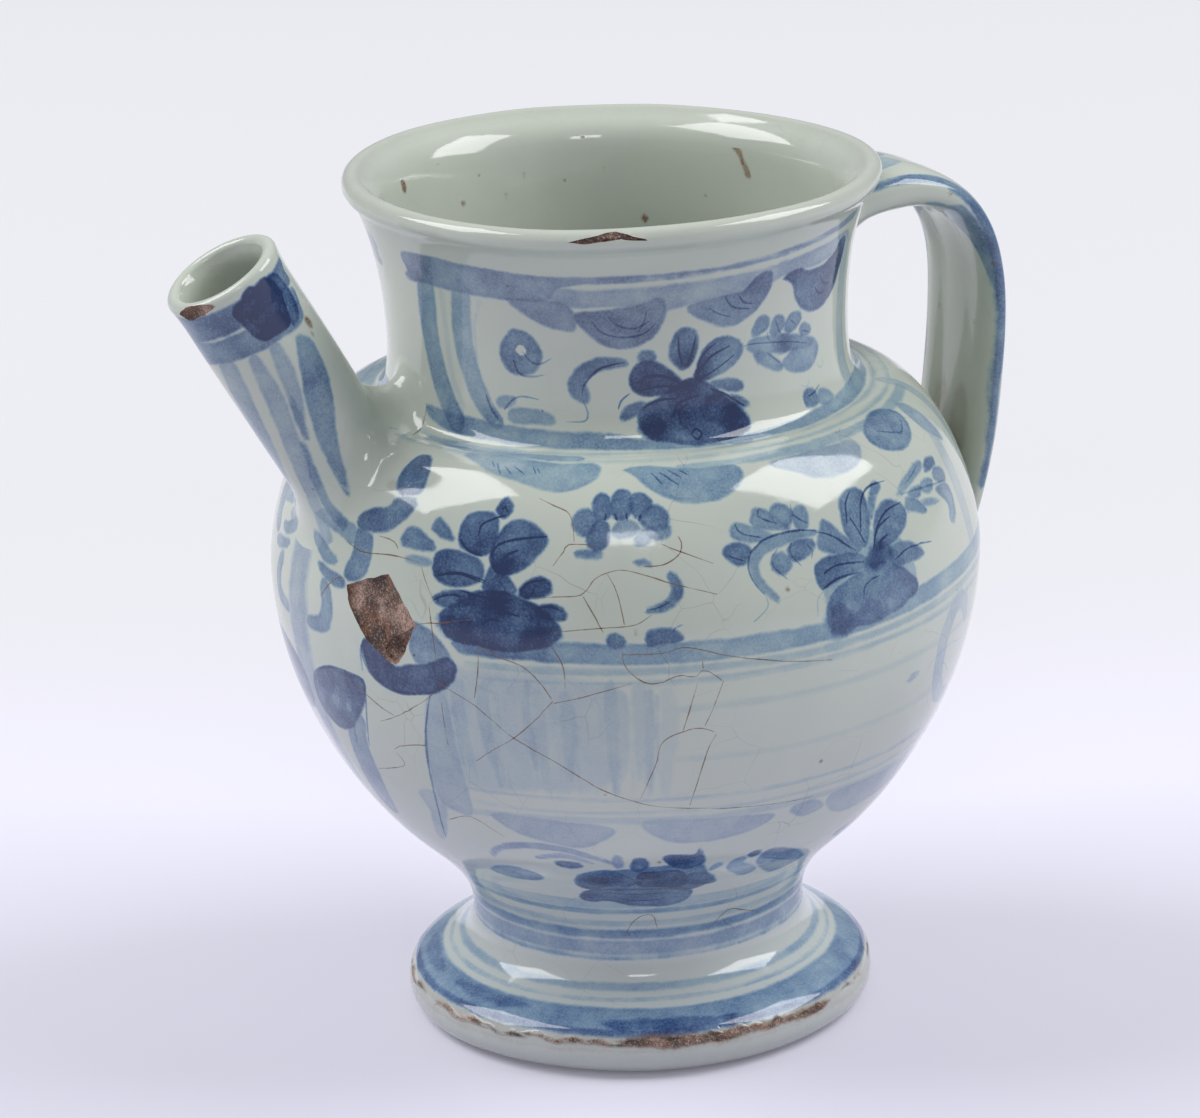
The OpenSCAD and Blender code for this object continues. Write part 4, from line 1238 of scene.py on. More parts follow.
def right_bloom():
    """The large flower towards the handle, and the sprig beyond it."""
    return [
        blot(1.7, 0.15, 13.7, 121, 14, 125.5, 15.5, 128.2, 18, 129, 19.8, 128.5, 20.3, 126, 19.8, 121,
             18, 116.5, 16.5, 115.5, 14.5, 118),
        blot(1.3, 0.15, 18, 118, 20, 123.5, 22.5, 127.5, 24, 128.8, 25.2, 127, 23, 125, 20.5, 121),
        blot(1.79, 0.15, 19, 116, 20.2, 120, 22, 122.8, 25, 123.8, 28, 122, 28.7, 119.5, 27, 116.5,
             23, 114.3, 20, 113.8),
        blot(1.45, 0.15, 7.7, 118.5, 8.8, 121.8, 10, 124, 11.5, 122.8, 13.5, 119, 16.5, 115.8,
             14.5, 114.5, 10.5, 116),
        blot(1.94, 0.15, 6.3, 113, 7, 115, 10, 116, 15, 115, 17.5, 112.5, 15, 111, 10, 110, 7, 109.2),
        blot(1.54, 0.15, 21, 112.5, 24, 113.8, 27.5, 113.2, 30.2, 110.5, 30, 108.7, 25, 108.7,
             22, 109.8),
        blot(2.38, 0.1, 16.6, 113, 19, 115.6, 22, 115, 23, 112, 20, 109.8, 17.2, 110.6, soft=3),
        blot(1.84, 0.15, 7.2, 103.5, 8, 106.5, 10.5, 109.2, 15, 111, 19, 112, 22.5, 110, 25.5, 107.5,
             27.5, 104.5, 27.3, 102, 25, 100.8, 21.5, 99.5, 17, 98.6, 13, 99.2, 11, 98.2, 9, 98.4,
             7.5, 100.5, pool=(26, 103.6, 2.8, 1)),
        blot(2.3, 0.1, 7, 102, 8.2, 104.9, 10.8, 104.9, 12.4, 102, 11.8, 98.8, 9.5, 97.8, 7.8, 98.8,
             soft=3),
        blot(0.78, 0.15, 8, 104, 7.4, 111, 9, 116, 13, 118.4, 17, 119.6, 21, 118, 25, 115, 27, 110,
             27, 104, 20, 100, 12, 99.6),
        hair(1.9, 0.45, 14.6, 121.6, 15.8, 126, 18, 128.7),
        hair(1.8, 0.45, 15.6, 123, 16.7, 119, 17.4, 116),
        hair(1.9, 0.5, 17, 119, 18.5, 124, 20.5, 127, 23, 128, 27, 127.7),
        hair(2.0, 0.55, 18.8, 114.5, 20.5, 118.5, 24, 121.5, 28.4, 122),
        hair(1.8, 0.45, 19.4, 117, 21.5, 119, 25, 120.2),
        hair(1.9, 0.5, 20, 113.6, 20.5, 115.5, 23, 116.8),
        hair(1.8, 0.45, 8, 121.8, 11, 120, 15, 115.5),
        hair(1.8, 0.45, 8, 112.5, 11, 113.5, 16.5, 112.5),
        hair(1.8, 0.5, 7, 109, 10.5, 110.8, 15, 110.7),
        hair(1.6, 0.4, 23, 110.7, 27, 112, 33.8, 110.8),
        hair(1.6, 0.45, 14.8, 104.5, 15.3, 107, 17, 108.3, 19, 108.5),
        hair(0.6, 0.35, 7.5, 109, 6, 107, 5.7, 103),
        blot(1.05, 0.2, 26.9, 122.4, 29.3, 125.3, 33, 127.1, 37.8, 128.3, 39.1, 126.7, 35.4, 125.1,
             31.1, 123.7),
        blot(1.37, 0.2, 30.5, 122.5, 33, 123.8, 36, 122.9, 34.2, 121.1, 31.8, 121.3),
        blot(1.3, 0.2, 34.5, 122.3, 36.3, 123.8, 40, 123.2, 38.8, 121, 36.3, 120.7),
        blot(1.54, 0.2, 38.4, 125.1, 40.8, 127.3, 44.5, 126.7, 43.9, 124.8, 40.8, 124.6),
        blot(1.45, 0.2, 28.8, 119.5, 29.7, 122.3, 32.1, 121.7, 34.5, 118.3, 33.6, 117.2, 30.9, 118.6),
        blot(1.05, 0.25, 32.9, 119.7, 34.8, 120.3, 39.6, 118.2, 38.4, 117.5, 34.8, 118.4),
        blot(1.22, 0.6, 40.5, 123.1, 43, 124.7, 46, 122.5, 44.8, 120.1, 41.7, 121.3),
        blot(1.14, 0.5, 39.4, 120.3, 43, 120.6, 45.7, 118.4, 44.9, 113, 43, 111.1, 41.4, 112.3,
             42.4, 116),
        hair(0.9, 0.6, 29, 123.4, 35, 122.5, 44, 120.8),
        hair(0.8, 0.4, 31, 125, 34, 126, 37.4, 127.4),
    ]


def belly_band():
    """Band and lines round the front of the belly, and the loop and dab at the right."""
    return [
        ribbon(0.95, 0.0, (4.6, 4.8, 4.4, 4.2, 4.4, 4.6), -52, 101.4, -40, 101.2, -20, 100.4, 10, 99.9,
               40, 101.2, 63, 101.6, pool=(-44, 101, 18, 1.0)),
        ribbon(0.5, 0.05, (1.4, 1.8, 1.6, 1.8), -51, 97, -20, 96.4, 10, 96, 40, 97, 63, 97.4),
        ribbon(0.42, 0.1, (1, 1.3, 1.2, 1.3), -51, 94.2, -20, 93.6, 10, 93.6, 40, 94.2, 63, 94.6),
        ribbon(0.16, 0.2, (1.5, 1.5), -20, 87, 10, 86.6, 58, 87),
        ribbon(0.12, 0.2, (1.5, 1.5), -18, 74, 10, 73, 56, 74),
        ribbon(0.5, 0.65, (4, 5, 5.4, 5.4, 5, 3.4), 46, 68, 41.5, 70, 38.2, 74.5, 36.5, 81, 37, 87.5,
               40.5, 93, 44.5, 92, 47, 87),
        blot(0.7, 0.5, 25.8, 80.5, 27, 82, 29, 82, 30, 81, 27.5, 80),
        hair(0.35, 0.4, 32, 78.6, 33, 82, 36, 83, 40, 83.5, 45, 82.3),
    ]


def label_panel():
    """Pale wash on the front where a name would stand, left bare of letters, with upright brush strokes."""
    strokes = [
        blot(0.24, 0.75, -56, 95, -50, 95.8, -42, 96, -34, 95.4, -29, 92, -28, 78, -29, 68, -36, 65.6,
             -45, 65.4, -54.5, 65, -56.6, 74, -56, 84, front=True, soft=3),
        blot(0.26, 0.85, -56.4, 94.6, -46, 95.4, -41, 94, -42, 80, -41, 67.4, -47, 64.6,
             -55, 65.2, -57, 76, front=True, soft=3),
    ]
    count = 26
    for k in range(count):
        share = k / (count - 1)
        at = -55.4 + 36 * share
        top = 95.8 - 3.4 * abs(math.sin(5.3 * k)) - 2 * share
        foot = 66.4 - 3 * math.sin(3.1 * k)
        strong = (0.52 - 0.22 * share) * (0.78 + 0.4 * math.sin(7.7 * k))
        wide = 2.2 + 1.1 * math.sin(4.1 * k)
        lean = 0.4 * math.sin(2.3 * k)
        strokes.append(ribbon(strong, 0.6, (wide, wide * 1.2, wide, wide * 0.4), at, top, at + lean, 86,
                              at, 74, at - lean, foot, front=True, soft=1.6))
    return strokes


def left_drapery():
    """Outlined cloth shapes that hang under the spout, and the petal under the loss."""
    return [
        blot(3, 0.35, -71.2, 95.5, -70.5, 97.8, -68.5, 97.5, -66, 95, -64, 93.3, -61.5, 94.5, -58, 95.5,
             -54.5, 98, -52.7, 96, -53.5, 92, -56.5, 89, -60, 87.8, -64.5, 87, -68, 88.3, -70.3, 91,
             pool=(-55, 95, 4, 0.5)),
        blot(1.5, 0.3, -61, 104, -58, 104, -55, 101, -53.5, 97, -57, 95, -60.5, 96),
        hair(1.2, 0.7, -71.4, 96.4, -71, 92, -68.4, 88.4, -64.5, 87, -60, 87.8, -56.4, 89.2),
        hair(1.0, 0.7, -70.6, 98, -71.6, 95, -71.8, 90),
        blot(2.03, 0.6, -84.6, 86, -80, 88, -74, 88.2, -72, 87.6, -72, 85, -73.4, 80.5, -75.5, 77,
             -78, 73.6, -82, 71, -86, 71.6, -88.6, 75, -88.4, 80.5, -86.6, 84,
             pool=(-74, 86, 3.4, 0.8)),
        hair(1.2, 0.7, -88.6, 76, -88.4, 80.6, -86, 84.8, -80, 88, -74, 88.2, -72, 87.4, -72.2, 84,
             -73.6, 77, -75.6, 69),
        hair(0.6, 0.5, -78, 74, -79.6, 68),
        blot(-1.6, 0.6, -83, 79, -80, 83.6, -79, 83, -81.4, 76, soft=1.6),
        blot(-1.6, 0.6, -79, 78, -77, 82, -76, 81.6, -78, 76.4, soft=1.6),
        ribbon(0.75, 0.9, (9, 10, 9), -90, 66, -90, 96, -90, 126, soft=3),
        ribbon(0.9, 0.75, (5, 7.5, 8.5, 7), -76, 77, -78.4, 70, -80, 60, -83, 47),
        ribbon(0.75, 0.8, (4, 6, 7, 5), -89, 70, -90, 62, -91, 52),
        hair(1.3, 0.6, -58, 88, -60, 79, -61.5, 70, -63, 60, -65, 51, -68, 42),
        blot(0.55, 0.7, -58.5, 87.5, -55, 88, -54.5, 70, -56, 55, -60, 55, -62.5, 58, -61.5, 70,
             -60, 80),
        blot(0.45, 0.8, -67, 59, -62.5, 60, -61.5, 56, -65, 47, -69, 41, -70.5, 42, -67, 52),
    ]


def lower_border():
    """Lines and lavender scallops under the panel."""
    return [
        ribbon(0.35, 0.8, (1, 1.2, 1.2), -60, 64.2, -45, 63.6, -10, 62.3, 20, 61.6, 58, 62.6),
        ribbon(0.25, 0.8, (1, 1.2, 1.2), -60, 60, -45, 59.4, -10, 58.4, 20, 57.8, 58, 58.6),
        ribbon(0.27, 0.8, (2, 2.2, 2, 2), -64, 55.6, -40, 56.6, -10, 55.6, 20, 54.8, 60, 55),
        blot(0.58, 0.9, -52, 56.5, -50.5, 53, -47.5, 49.8, -42, 47.8, -36, 46.3, -32, 48.5, -29, 51.5,
             -28.9, 53.5, -31, 54.8, -38, 55.8, -45, 56.8),
        blot(0.52, 0.9, -23.8, 54.5, -23, 56.2, -19, 56.3, -10, 55.2, -3, 54, 1.5, 52.8, 1.8, 51,
             -1, 48.3, -6, 46.8, -12, 46.5, -17, 47.3, -21, 49.8),
        blot(0.31, 0.9, -11, 54.5, -5, 53.5, 1, 52.5, 0, 49.5, -5, 48.5, -9, 50.5),
        blot(0.58, 0.9, 5.2, 52.5, 6.5, 54, 10, 54, 13, 52, 13.8, 50, 11, 48.7, 8, 49.2),
        blot(0.52, 0.9, 13.8, 52, 15, 54.5, 20, 55, 28, 54.8, 36, 54.3, 44, 53, 44, 49, 38, 46.5,
             30, 45.3, 22, 45, 18, 46.5, 15.5, 49),
    ]


def waist_sprig():
    """Flower and leaves on the narrow part above the waist."""
    return [
        blot(1.8, 0.2, -38, 33, -30, 36.5, -24, 37.5, -18, 38, -12, 39, -9, 33, -6, 28, -11, 23.5,
             -20, 25, -30, 25, -38.5, 26.5),
        blot(2.39, 0.2, -26.5, 39, -25.5, 41.8, -23.5, 41.8, -22.4, 39.5, -23, 36.5, -25, 35.3,
             -26.3, 36.5),
        blot(2.5, 0.2, -19.5, 41.8, -16.5, 42.2, -13, 41.8, -12.2, 44.3, -11.3, 42, -10.2, 38.5,
             -11.5, 36, -14.5, 35, -17.5, 37),
        blot(2.7, 0.2, -24.5, 35, -20, 35.5, -15.5, 35.5, -13.5, 32, -12.8, 27, -16, 25.3, -20, 26.5,
             -24, 27, -25.5, 30),
        blot(1.98, 0.2, -40, 29.5, -39, 33, -36, 35.8, -31, 36.8, -27, 34, -25, 30, -27, 27.3, -31, 28,
             -36, 26.3, -39, 27, pool=(-35, 30.8, 3, 1.2)),
        blot(2.08, 0.2, -13.5, 32.5, -10, 33, -7, 29.5, -5, 26.5, -7.5, 25.5, -11, 26, -13.5, 28),
        blot(1.87, 0.25, -41, 21, -39, 24, -35, 26.5, -28, 27, -20, 26, -14, 26, -11, 23.5, -10.3, 20.5,
             -12, 17, -16, 15.7, -22, 15.6, -28, 16.5, -33, 18.8, -38, 18.2, -40.5, 19,
             pool=(-38, 20.8, 3, 0.6)),
        hair(1.0, 0.5, -33, 24, -26, 22.6, -18, 22.8, -12, 21),
        hair(1.0, 0.5, -30, 20, -24, 19, -17, 19.4),
        ribbon(0.83, 0.9, (1.4, 2.4, 2.6, 2, 1.4), -57, 39, -54, 43, -48, 45.5, -40, 45.4, -33, 42,
               -29, 39.4),
        ribbon(0.73, 0.9, (1.4, 2, 1.4), -46, 41, -40, 42.6, -34, 40),
        blot(1.66, 0.6, -42.5, 39, -41, 40.5, -37, 40, -36.5, 38, -40, 37.2),
        blot(1.04, 0.7, -30.3, 40, -29.3, 43.5, -28, 42.5, -27.7, 39, -29, 37.5),
        blot(1.14, 0.4, -8.8, 33.5, -7.5, 36.3, -5.8, 36, -5.8, 34.5, -7.5, 33),
        blot(1.87, 0.3, -0.5, 37.5, 1, 38.5, 3, 38, 2.5, 36.3, 0.5, 36.3),
        blot(1.14, 0.4, -4.5, 33, -3.5, 36.5, -0.5, 37, 0, 34, 3, 31.5, 5, 28.5, 2, 27, -2, 29.5),
        blot(1.46, 0.3, 4, 37.5, 8, 37.3, 13, 34.5, 18, 30.5, 21, 27, 18, 25, 12, 24, 8, 27, 5, 30,
             3, 33.5),
        hair(0.9, 0.5, 4, 34.5, 10, 31.6, 17, 27.4),
        blot(1.04, 0.4, 26, 34, 32, 36, 40, 33, 46, 28, 40, 27, 32, 30),
        blot(1.25, 0.4, -62, 30, -58, 34, -52, 35, -47, 32, -50, 29, -57, 28),
    ]


def waist_hoops():
    """Lines round the waist, above and below the joint with the foot."""
    return [
        level_hoop(0.48, 0.1, 4.6, 17.4),
        level_hoop(0.99, 0.05, 2, 13.7),
        level_hoop(0.51, 0.1, 1.6, 9.2),
        level_hoop(1.2, 0.15, 2.4, 5.8),
        level_hoop(0.88, 0.5, 3.6, 2.2),
        level_hoop(1.28, 0.1, 0.8, -0.3),
        level_hoop(0.67, 0.1, 1.9, -7.2),
        level_hoop(0.72, 0.1, 0.8, -10.6),
    ]


def foot_edge():
    """Cobalt rim of the foot, the warm thin glaze below it, and the worn edge where the clay shows."""
    marks = [
        hoop(1.25, 0.05, 7.6, -90, -16.8, -40, -16.6, -10, -17.2, 30, -16.6, 90, -16.8),
        hoop(2.1, 0.05, 1.8, -90, -19.6, -50, -19.8, -20, -20.4, 0, -19.8, 30, -20.2, 90, -19.8),
        level_hoop(0.26, BROWN, 4.2, -22.8),
        level_hoop(0.12, BROWN, 9, -29.5),
        blot(1.7, 0.1, -84, -14.2, -70, -13.4, -58, -14.6, -62, -17, -76, -17.4, -86, -16.4, soft=2),
        blot(2.1, 0.1, -36, -17, -22, -16.2, -10, -16.8, 0, -18.6, -14, -20.6, -30, -20.4, soft=2),
        blot(0.9, BROWN, -32, -22, -24, -21, -14, -21.4, 0, -21.8, 14, -21.8, 28, -22.6, 22, -23.8,
             8, -23.4, -8, -23.8, -22, -23.6, soft=1.6),
    ]
    worn = ((-87, -66, 1.3), (-70, -54, 0.9), (-56, -38, 1.2), (-40, -24, 1.6), (-27, -9, 2.2),
            (-12, 3, 1.6), (0, 13, 1.9), (10, 27, 1.3), (34, 46, 0.7), (56, 82, 1.2))
    for k, (start, end, wide) in enumerate(worn):
        high = -22.6 - 0.35 * math.sin(2.1 * k)
        step = (end - start) / 4
        marks.append(ribbon(1, BARE, (0.3, wide, wide * 0.5, wide * 1.2, 0.3), start, high,
                            start + step, high + 0.5, start + 2 * step, high - 0.5,
                            start + 3 * step, high + 0.3, end, high - 0.4))
    return marks


def front_crazing():
    """The longer cracks of the glaze round the loss and across the panel."""
    lines = (
        (-60, 104, -57.5, 105, -55, 105.4, -50, 107), (-57.6, 108.6, -57, 105.2, -56.4, 100, -56.2, 96),
        (-49, 101.4, -45, 99.2, -41, 97, -38.5, 93, -37, 89.6),
        (-37, 89.6, -40, 85, -44, 79.8, -48, 76, -51.6, 72.4),
        (-57, 92, -50, 87, -44, 79.8, -38, 74.5, -30, 66, -22, 61, -12, 58.6, 2, 56, 10, 55),
        (-74.5, 86, -70, 82.5, -66, 80.4), (-57, 89, -60, 85.5, -66, 80.4, -70.6, 77.4),
        (-60.6, 74.4, -66, 72.6, -69, 70.6), (-76, 62.3, -70, 65, -67.4, 67, -68.6, 70),
        (-63, 50.8, -57, 53.7, -51, 48), (-50, 88.6, -49, 95, -48.6, 101), (-56, 87, -56.2, 75),
        (-37.5, 104, -35.2, 98, -35, 92), (-37, 89, -30, 91.6, -24.6, 94),
        (-26, 102, -25.7, 98, -23.5, 94.5, -20.5, 93.5, -17.5, 95, -15, 94.3, -13.5, 95.8, -10.5, 92.6),
        (-26, 100.5, -20, 100.3, -16.5, 101.3, -12, 99.5, -6, 97, 2, 94.5, 8, 93),
        (-13.8, 98.5, -13.7, 95.5), (-14.5, 93.5, -15.6, 88, -17, 81), (-10.5, 93, -12, 87, -13.5, 82),
        (-11.5, 80, -14.5, 81.7, -18.5, 80.5, -20.5, 78, -21.3, 73, -24, 63),
        (-11.5, 80, -13, 75, -15.4, 60),
        (-77.5, 118.5, -73, 117, -66, 118, -60, 117.8), (-70, 121.5, -66.4, 121.2, -64.8, 119.4),
        (-60, 117.5, -58.5, 113.5, -56.5, 110),
        (-40.5, 112.5, -36.5, 113.2, -32, 113.8, -30, 117, -27.7, 118.5, -25, 118.8, -20, 116.5,
         -10.5, 112),
        (-32, 113.8, -30.3, 109.5, -28.6, 105), (-37, 119.5, -35, 123, -34.3, 124.5, -30, 124.5),
        (-40.5, 135, -37, 133, -34.8, 131.8, -33.8, 129.5, -33.3, 124.5),
        (-28, 118.2, -26.5, 114, -25.5, 107),
        (-37, 105.3, -33, 106, -29, 106.5, -24, 107, -21, 109), (-19, 124, -15, 121.5, -10.5, 118.5),
        (-22.5, 119.5, -19, 119.5, -16.3, 121.5, -15.7, 124, -16.3, 125.8),
        (-82, 104, -78.6, 109, -75.6, 110.4),
        (-30, 5, -26, 10.6, -21, 12, -19, 7), (-2, 4, 0, 6, 5, 9.6, 12, 8, 20, 5.4),
    )
    return [craze(*line) for line in lines]


def spout_marks():
    """Everything on the spout, in degrees from the side of the neck and millimetres below the mouth."""
    return [
        blot(1.75, 0.4, -184, 3.2, -150, 2.6, -120, 2.8, -90, 3, -60, 3.2, -30, 3.4, -35, 6, -36, 9,
             -60, 8.8, -90, 9, -120, 9, -150, 9.2, -184, 9.4),
        blot(1.4, 0.4, -184, 10, -150, 9.9, -120, 9.7, -90, 9.7, -60, 9.5, -37, 10, -42, 13, -48, 16,
             -62, 17, -85, 16.2, -109, 16, -136, 15.6, -160, 15.8, -184, 16),
        blot(4, 0.3, -113, 5.4, -106, 3.2, -100, 3.6, -93, 2, -85, 1.6, -79, 2.6, -72, 2.2, -63, 3,
             -57, 6, -58, 9.6, -63, 12, -66, 14.6, -79, 15.4, -91, 14.8, -99, 14.8, -107, 12.4,
             -110, 9),
        blot(2.6, 0.15, -68, 4, -57, 3.2, -48, 5, -45, 9.6, -49, 14, -60, 16.2, -69, 15),
        ribbon(0.7, 0.7, (5, 6, 6.4, 6, 5), -149.5, 16, -158, 24.5, -166, 33, -173, 41, -184, 50),
        ribbon(0.65, 0.65, (2.6, 4.2, 4.4, 4.3, 3.9, 3.6, 3), -119, 16.6, -122.5, 25.6, -129, 33.5,
               -136, 41, -146, 50, -150, 57, -144, 64),
        ribbon(0.7, 0.6, (2.6, 4, 3, 1.4), -95, 16.6, -99.6, 23.7, -106, 30, -115, 37),
        ribbon(1.2, 0.35, (1, 2.2, 1), -109, 29, -113, 34, -118.6, 40),
        ribbon(1.3, 0.2, (1, 1.8, 2.4, 2.6, 2), -124, 40, -127.4, 43.4, -134, 49.4, -136, 55.6,
               -126, 60, -119, 62.6),
        blot(1.25, 0.1, -70, 18.2, -63, 19.4, -58, 22.3, -62.4, 28.5, -72.7, 34.7, -86, 40.4, -98, 46.4,
             -105.6, 51.7, -111.6, 55.4, -114.7, 53, -112, 45.6, -106.6, 38.3, -98, 31.3, -87, 25.2,
             -77, 20, pool=(-80, 28, 4, 0.3)),
        blot(0.9, BROWN, -52, 17.4, -48, 16.8, -45, 18.4, -47.4, 20, -51, 19.4),
        blot(0.9, BROWN, -55, 20.8, -53.4, 20, -52.4, 21, -54, 21.8),
        blot(0.5, BROWN, -79, 55.4, -76, 54.6, -73, 55.8, -76, 56.8),
        blot(0.3, BROWN, -75, 60.6, -72, 59.6, -69, 61, -72, 62),
    ]


def handle_marks():
    """Lines along the strap's near edge: millimetres round it to the outer face, and down the strap."""
    return [
        ribbon(1.5, 0.2, (1, 1.6, 2, 2.4, 3.2, 3.2, 3, 2.6, 2.2, 1.8, 1.6, 1.4), 3.1, 10, 3.2, 17,
               3.2, 22, 3, 28, 1.9, 33, 0.9, 39, 0.5, 46, 0.4, 52, 0.2, 60, 0, 70, -0.7, 79, -0.6, 87,
               -0.3, 95, 0, 106, pool=(0.4, 48, 12, 0.5)),
        blot(1.05, 0.3, -2.7, 24, -4.4, 29, -8, 35, -12, 38.6, -10.9, 40.4, -6.7, 43.7, -4.6, 48.8,
             -2.3, 54, -1.4, 58, -0.6, 57, -0.5, 52, -0.5, 47, -0.6, 42, -0.6, 37, -0.6, 33.4, -1.9, 31,
             -2.2, 27, pool=(-1.5, 44, 6, 0.6)),
        blot(0.7, 0.1, 8, 9, 19, 9, 19, 21, 14, 23, 9, 16),
        ribbon(0.6, 0.4, (2, 3, 3, 2), 14, 24, 14.5, 50, 14, 80, 13, 105),
        # Brown smudge where the strap's inner face meets the belly: partly dirt, partly painted shade of
        # that crevice
        blot(0.28, BROWN, -11, 84, -15, 88, -15, 99, -10, 102, -8.4, 94, soft=3),
        blot(0.9, BROWN, -1.4, 52, -0.9, 51.5, -0.4, 52, -0.9, 52.6),
        blot(0.8, BROWN, 0.4, 29.6, 0.8, 29.2, 1.1, 29.7, 0.7, 30),
        blot(0.9, BROWN, -8.9, 68, -8.4, 67.4, -7.9, 68, -8.4, 68.6),
        hair(0.8, 0.5, -9, 34, -10.5, 42, -10, 50),
    ]


def glaze_pits():
    """Brown pits in the glaze of the front, and two faint stains beside the spout."""
    spots = ((-23.7, 105.3, 0.7), (0.9, 110.8, 0.5), (22.6, 89.3, 0.6), (28.3, 106.7, 0.45), (45, 108, 0.4),
             (8.8, 66.3, 0.6), (-15, 70.3, 0.45), (-20.4, 39.8, 0.6))
    mm_per_degree = 1.3
    marks = [blot(0.4, BROWN, -77.4, 135, -76, 136, -74.8, 135.2, -76, 134, front=True),
             blot(0.25, BROWN, -72, 133, -70.5, 134.4, -69.4, 132.8, -70.6, 131.6, front=True)]
    for at, up, wide in spots:
        turn = wide / mm_per_degree
        marks.append(blot(0.9, BROWN, at - turn, up, at, up + wide, at + turn, up, at, up - wide,
                          front=True))
    return marks


def neck_marks():
    """Everything painted on the neck."""
    return ([level_hoop(0.08, BROWN, 5, 204.5)] + neck_bloom() + neck_ring_flower() + neck_sprig()
            + neck_border() + neck_stripes() + neck_base() + shoulder_border())


def body_marks():
    """Everything painted on the body."""
    return (left_bloom() + right_bloom() + crown_flower() + right_spray() + spout_ribbon()
            + shoulder_border() + neck_base() + left_drapery() + label_panel() + belly_band()
            + lower_border() + waist_sprig() + waist_hoops() + glaze_pits() + front_crazing())


def inside_stains():
    """Iron spots and a brown run on the inside of the neck, by degrees right round and height."""
    dots = ((-137.9, 191.5, 1.0), (178.5, 186, 0.5), (-175.7, 182.1, 0.45), (-161.5, 182.6, 0.5),
            (157, 186, 0.45), (146, 174.5, 0.6), (172.8, 177.8, 0.35), (-155.6, 193.2, 0.3),
            (98.5, 194.1, 0.5), (91.3, 197, 0.45), (128, 181, 0.3), (-120, 184, 0.35))
    marks = [
        ribbon(0.9, BROWN, (0.8, 1.8, 1.5, 0.8, 1.3, 2.1), 120, 195.4, 118.6, 193.4, 116.8, 192,
               115.8, 190.2, 114.6, 188.6, 113.6, 187),
        ribbon(0.8, BROWN, (1, 1.8, 1.2), 117, 196, 116.4, 194.4, 115, 193.6),
        ribbon(0.7, BROWN, (0.8, 1.4, 0.8), 117.8, 198, 116.4, 197.2),
    ]
    mm_per_degree, spread_out = 0.87, 1.5
    for at, high, wide in dots:
        wide = wide * spread_out
        turn = wide / mm_per_degree
        marks.append(blot(0.95, BROWN, at - turn, high, at, high + wide * 1.2,
                          at + turn * 0.9, high + wide * 0.2, at + turn * 0.2, high - wide * 1.1))
    return marks


def foot_marks():
    """Everything painted on the foot."""
    return waist_hoops() + foot_edge()


# Chips

# Outlines of the flakes that are gone, in degrees and millimetres
BODY_LOSS = (-75.2, 108.8, -72, 111, -66.1, 114.1, -63.4, 110, -59.8, 104.1, -62, 97.1, -63.7, 93.6,
             -65.5, 93.9, -67.6, 96, -70, 97.9, -72.2, 101.4, -74.4, 105)
BODY_LOSS_LOW = (-65.4, 99.4, -62.6, 101.6, -60.4, 103.6, -62, 97.1, -63.7, 94, -65.5, 94.3, -67, 96.4)
RIM_LOSS = (-34.5, 201, -31, 202, -28.5, 202.6, -26.5, 203.5, -24.5, 203.8, -22.5, 203, -20.5, 202,
            -18, 201.2, -17.4, 200.7, -21, 201, -23.5, 201.5, -26, 201.1, -28.5, 200.8, -31.5, 200.4)
# How deep these flakes go, in millimetres
BODY_LOSS_DEPTH, BODY_LOSS_LOW_DEPTH, RIM_LOSS_DEPTH = 1.3, 2.1, 0.7


def marker(name):
    """A plain material that only tells faces apart, made once."""
    return bpy.data.materials.get(name) or bpy.data.materials.new(name)


def chipped(piece, rings, bare):
    """Cuts a flake or a hole out of a piece; rings of points in millimetres lead from outside it inwards.
    The faces of a break are marked as bare clay."""
    cutter = lofted("flake", rings, False)
    cutter.data.materials.append(marker("broken face" if bare else "whole face"))
    if not piece.data.materials:
        piece.data.materials.append(marker("whole face"))
    only(piece)
    cut = piece.modifiers.new("flake", "BOOLEAN")
    cut.object = cutter
    cut.operation = "DIFFERENCE"
    cut.solver = "EXACT"
    cut.material_mode = "TRANSFER"
    bpy.ops.object.modifier_apply(modifier=cut.name)
    bpy.data.objects.remove(cutter)


def mark_breaks(piece):
    """Turns the broken faces' material into the attribute that the finish reads."""
    mesh = piece.data
    names = [slot.name if slot else "" for slot in mesh.materials]
    index = np.empty(len(mesh.polygons), int)
    mesh.polygons.foreach_get("material_index", index)
    broken = np.array([name == "broken face" for name in names] or [False])
    layer = mesh.attributes.new("bare_clay", "FLOAT", "FACE")
    layer.data.foreach_set("value", broken[np.minimum(index, len(broken) - 1)].astype(float))
    mesh.polygons.foreach_set("material_index", np.zeros(len(index), int))


def flake_rings(lines, outline, depth):
    """Rings of a flake on the jar's outside: its outline in degrees and millimetres, and its depth."""
    outline = np.array(outline, float).reshape(-1, 2)
    step = np.linspace(0, len(outline), 48, endpoint=False)
    closed = np.vstack([outline, outline[:1]])
    edge = np.stack([np.interp(step, np.arange(len(closed)), closed[:, k]) for k in (0, 1)], 1)
    jag = np.sin(step * 11.3) * 0.5 + np.sin(step * 23.7 + 1) * 0.35
    middle = edge.mean(0)
    rings = []
    for share, down in ((1.12, -3.0), (1.0, 0.0), (0.93, 0.75), (0.72, 1.0), (0.45, 1.08), (0.2, 0.95)):
        rough = 0.12 * np.sin(step * 7.1 + 9 * share) if 0 < share < 0.95 else 0
        spot = middle + (edge - middle) * (share + 0.025 * jag[:, None])
        rings.append(lines.point(spot[:, 0], spot[:, 1], -depth * (down + rough) if down > 0 else -down))
    return rings


# Operators

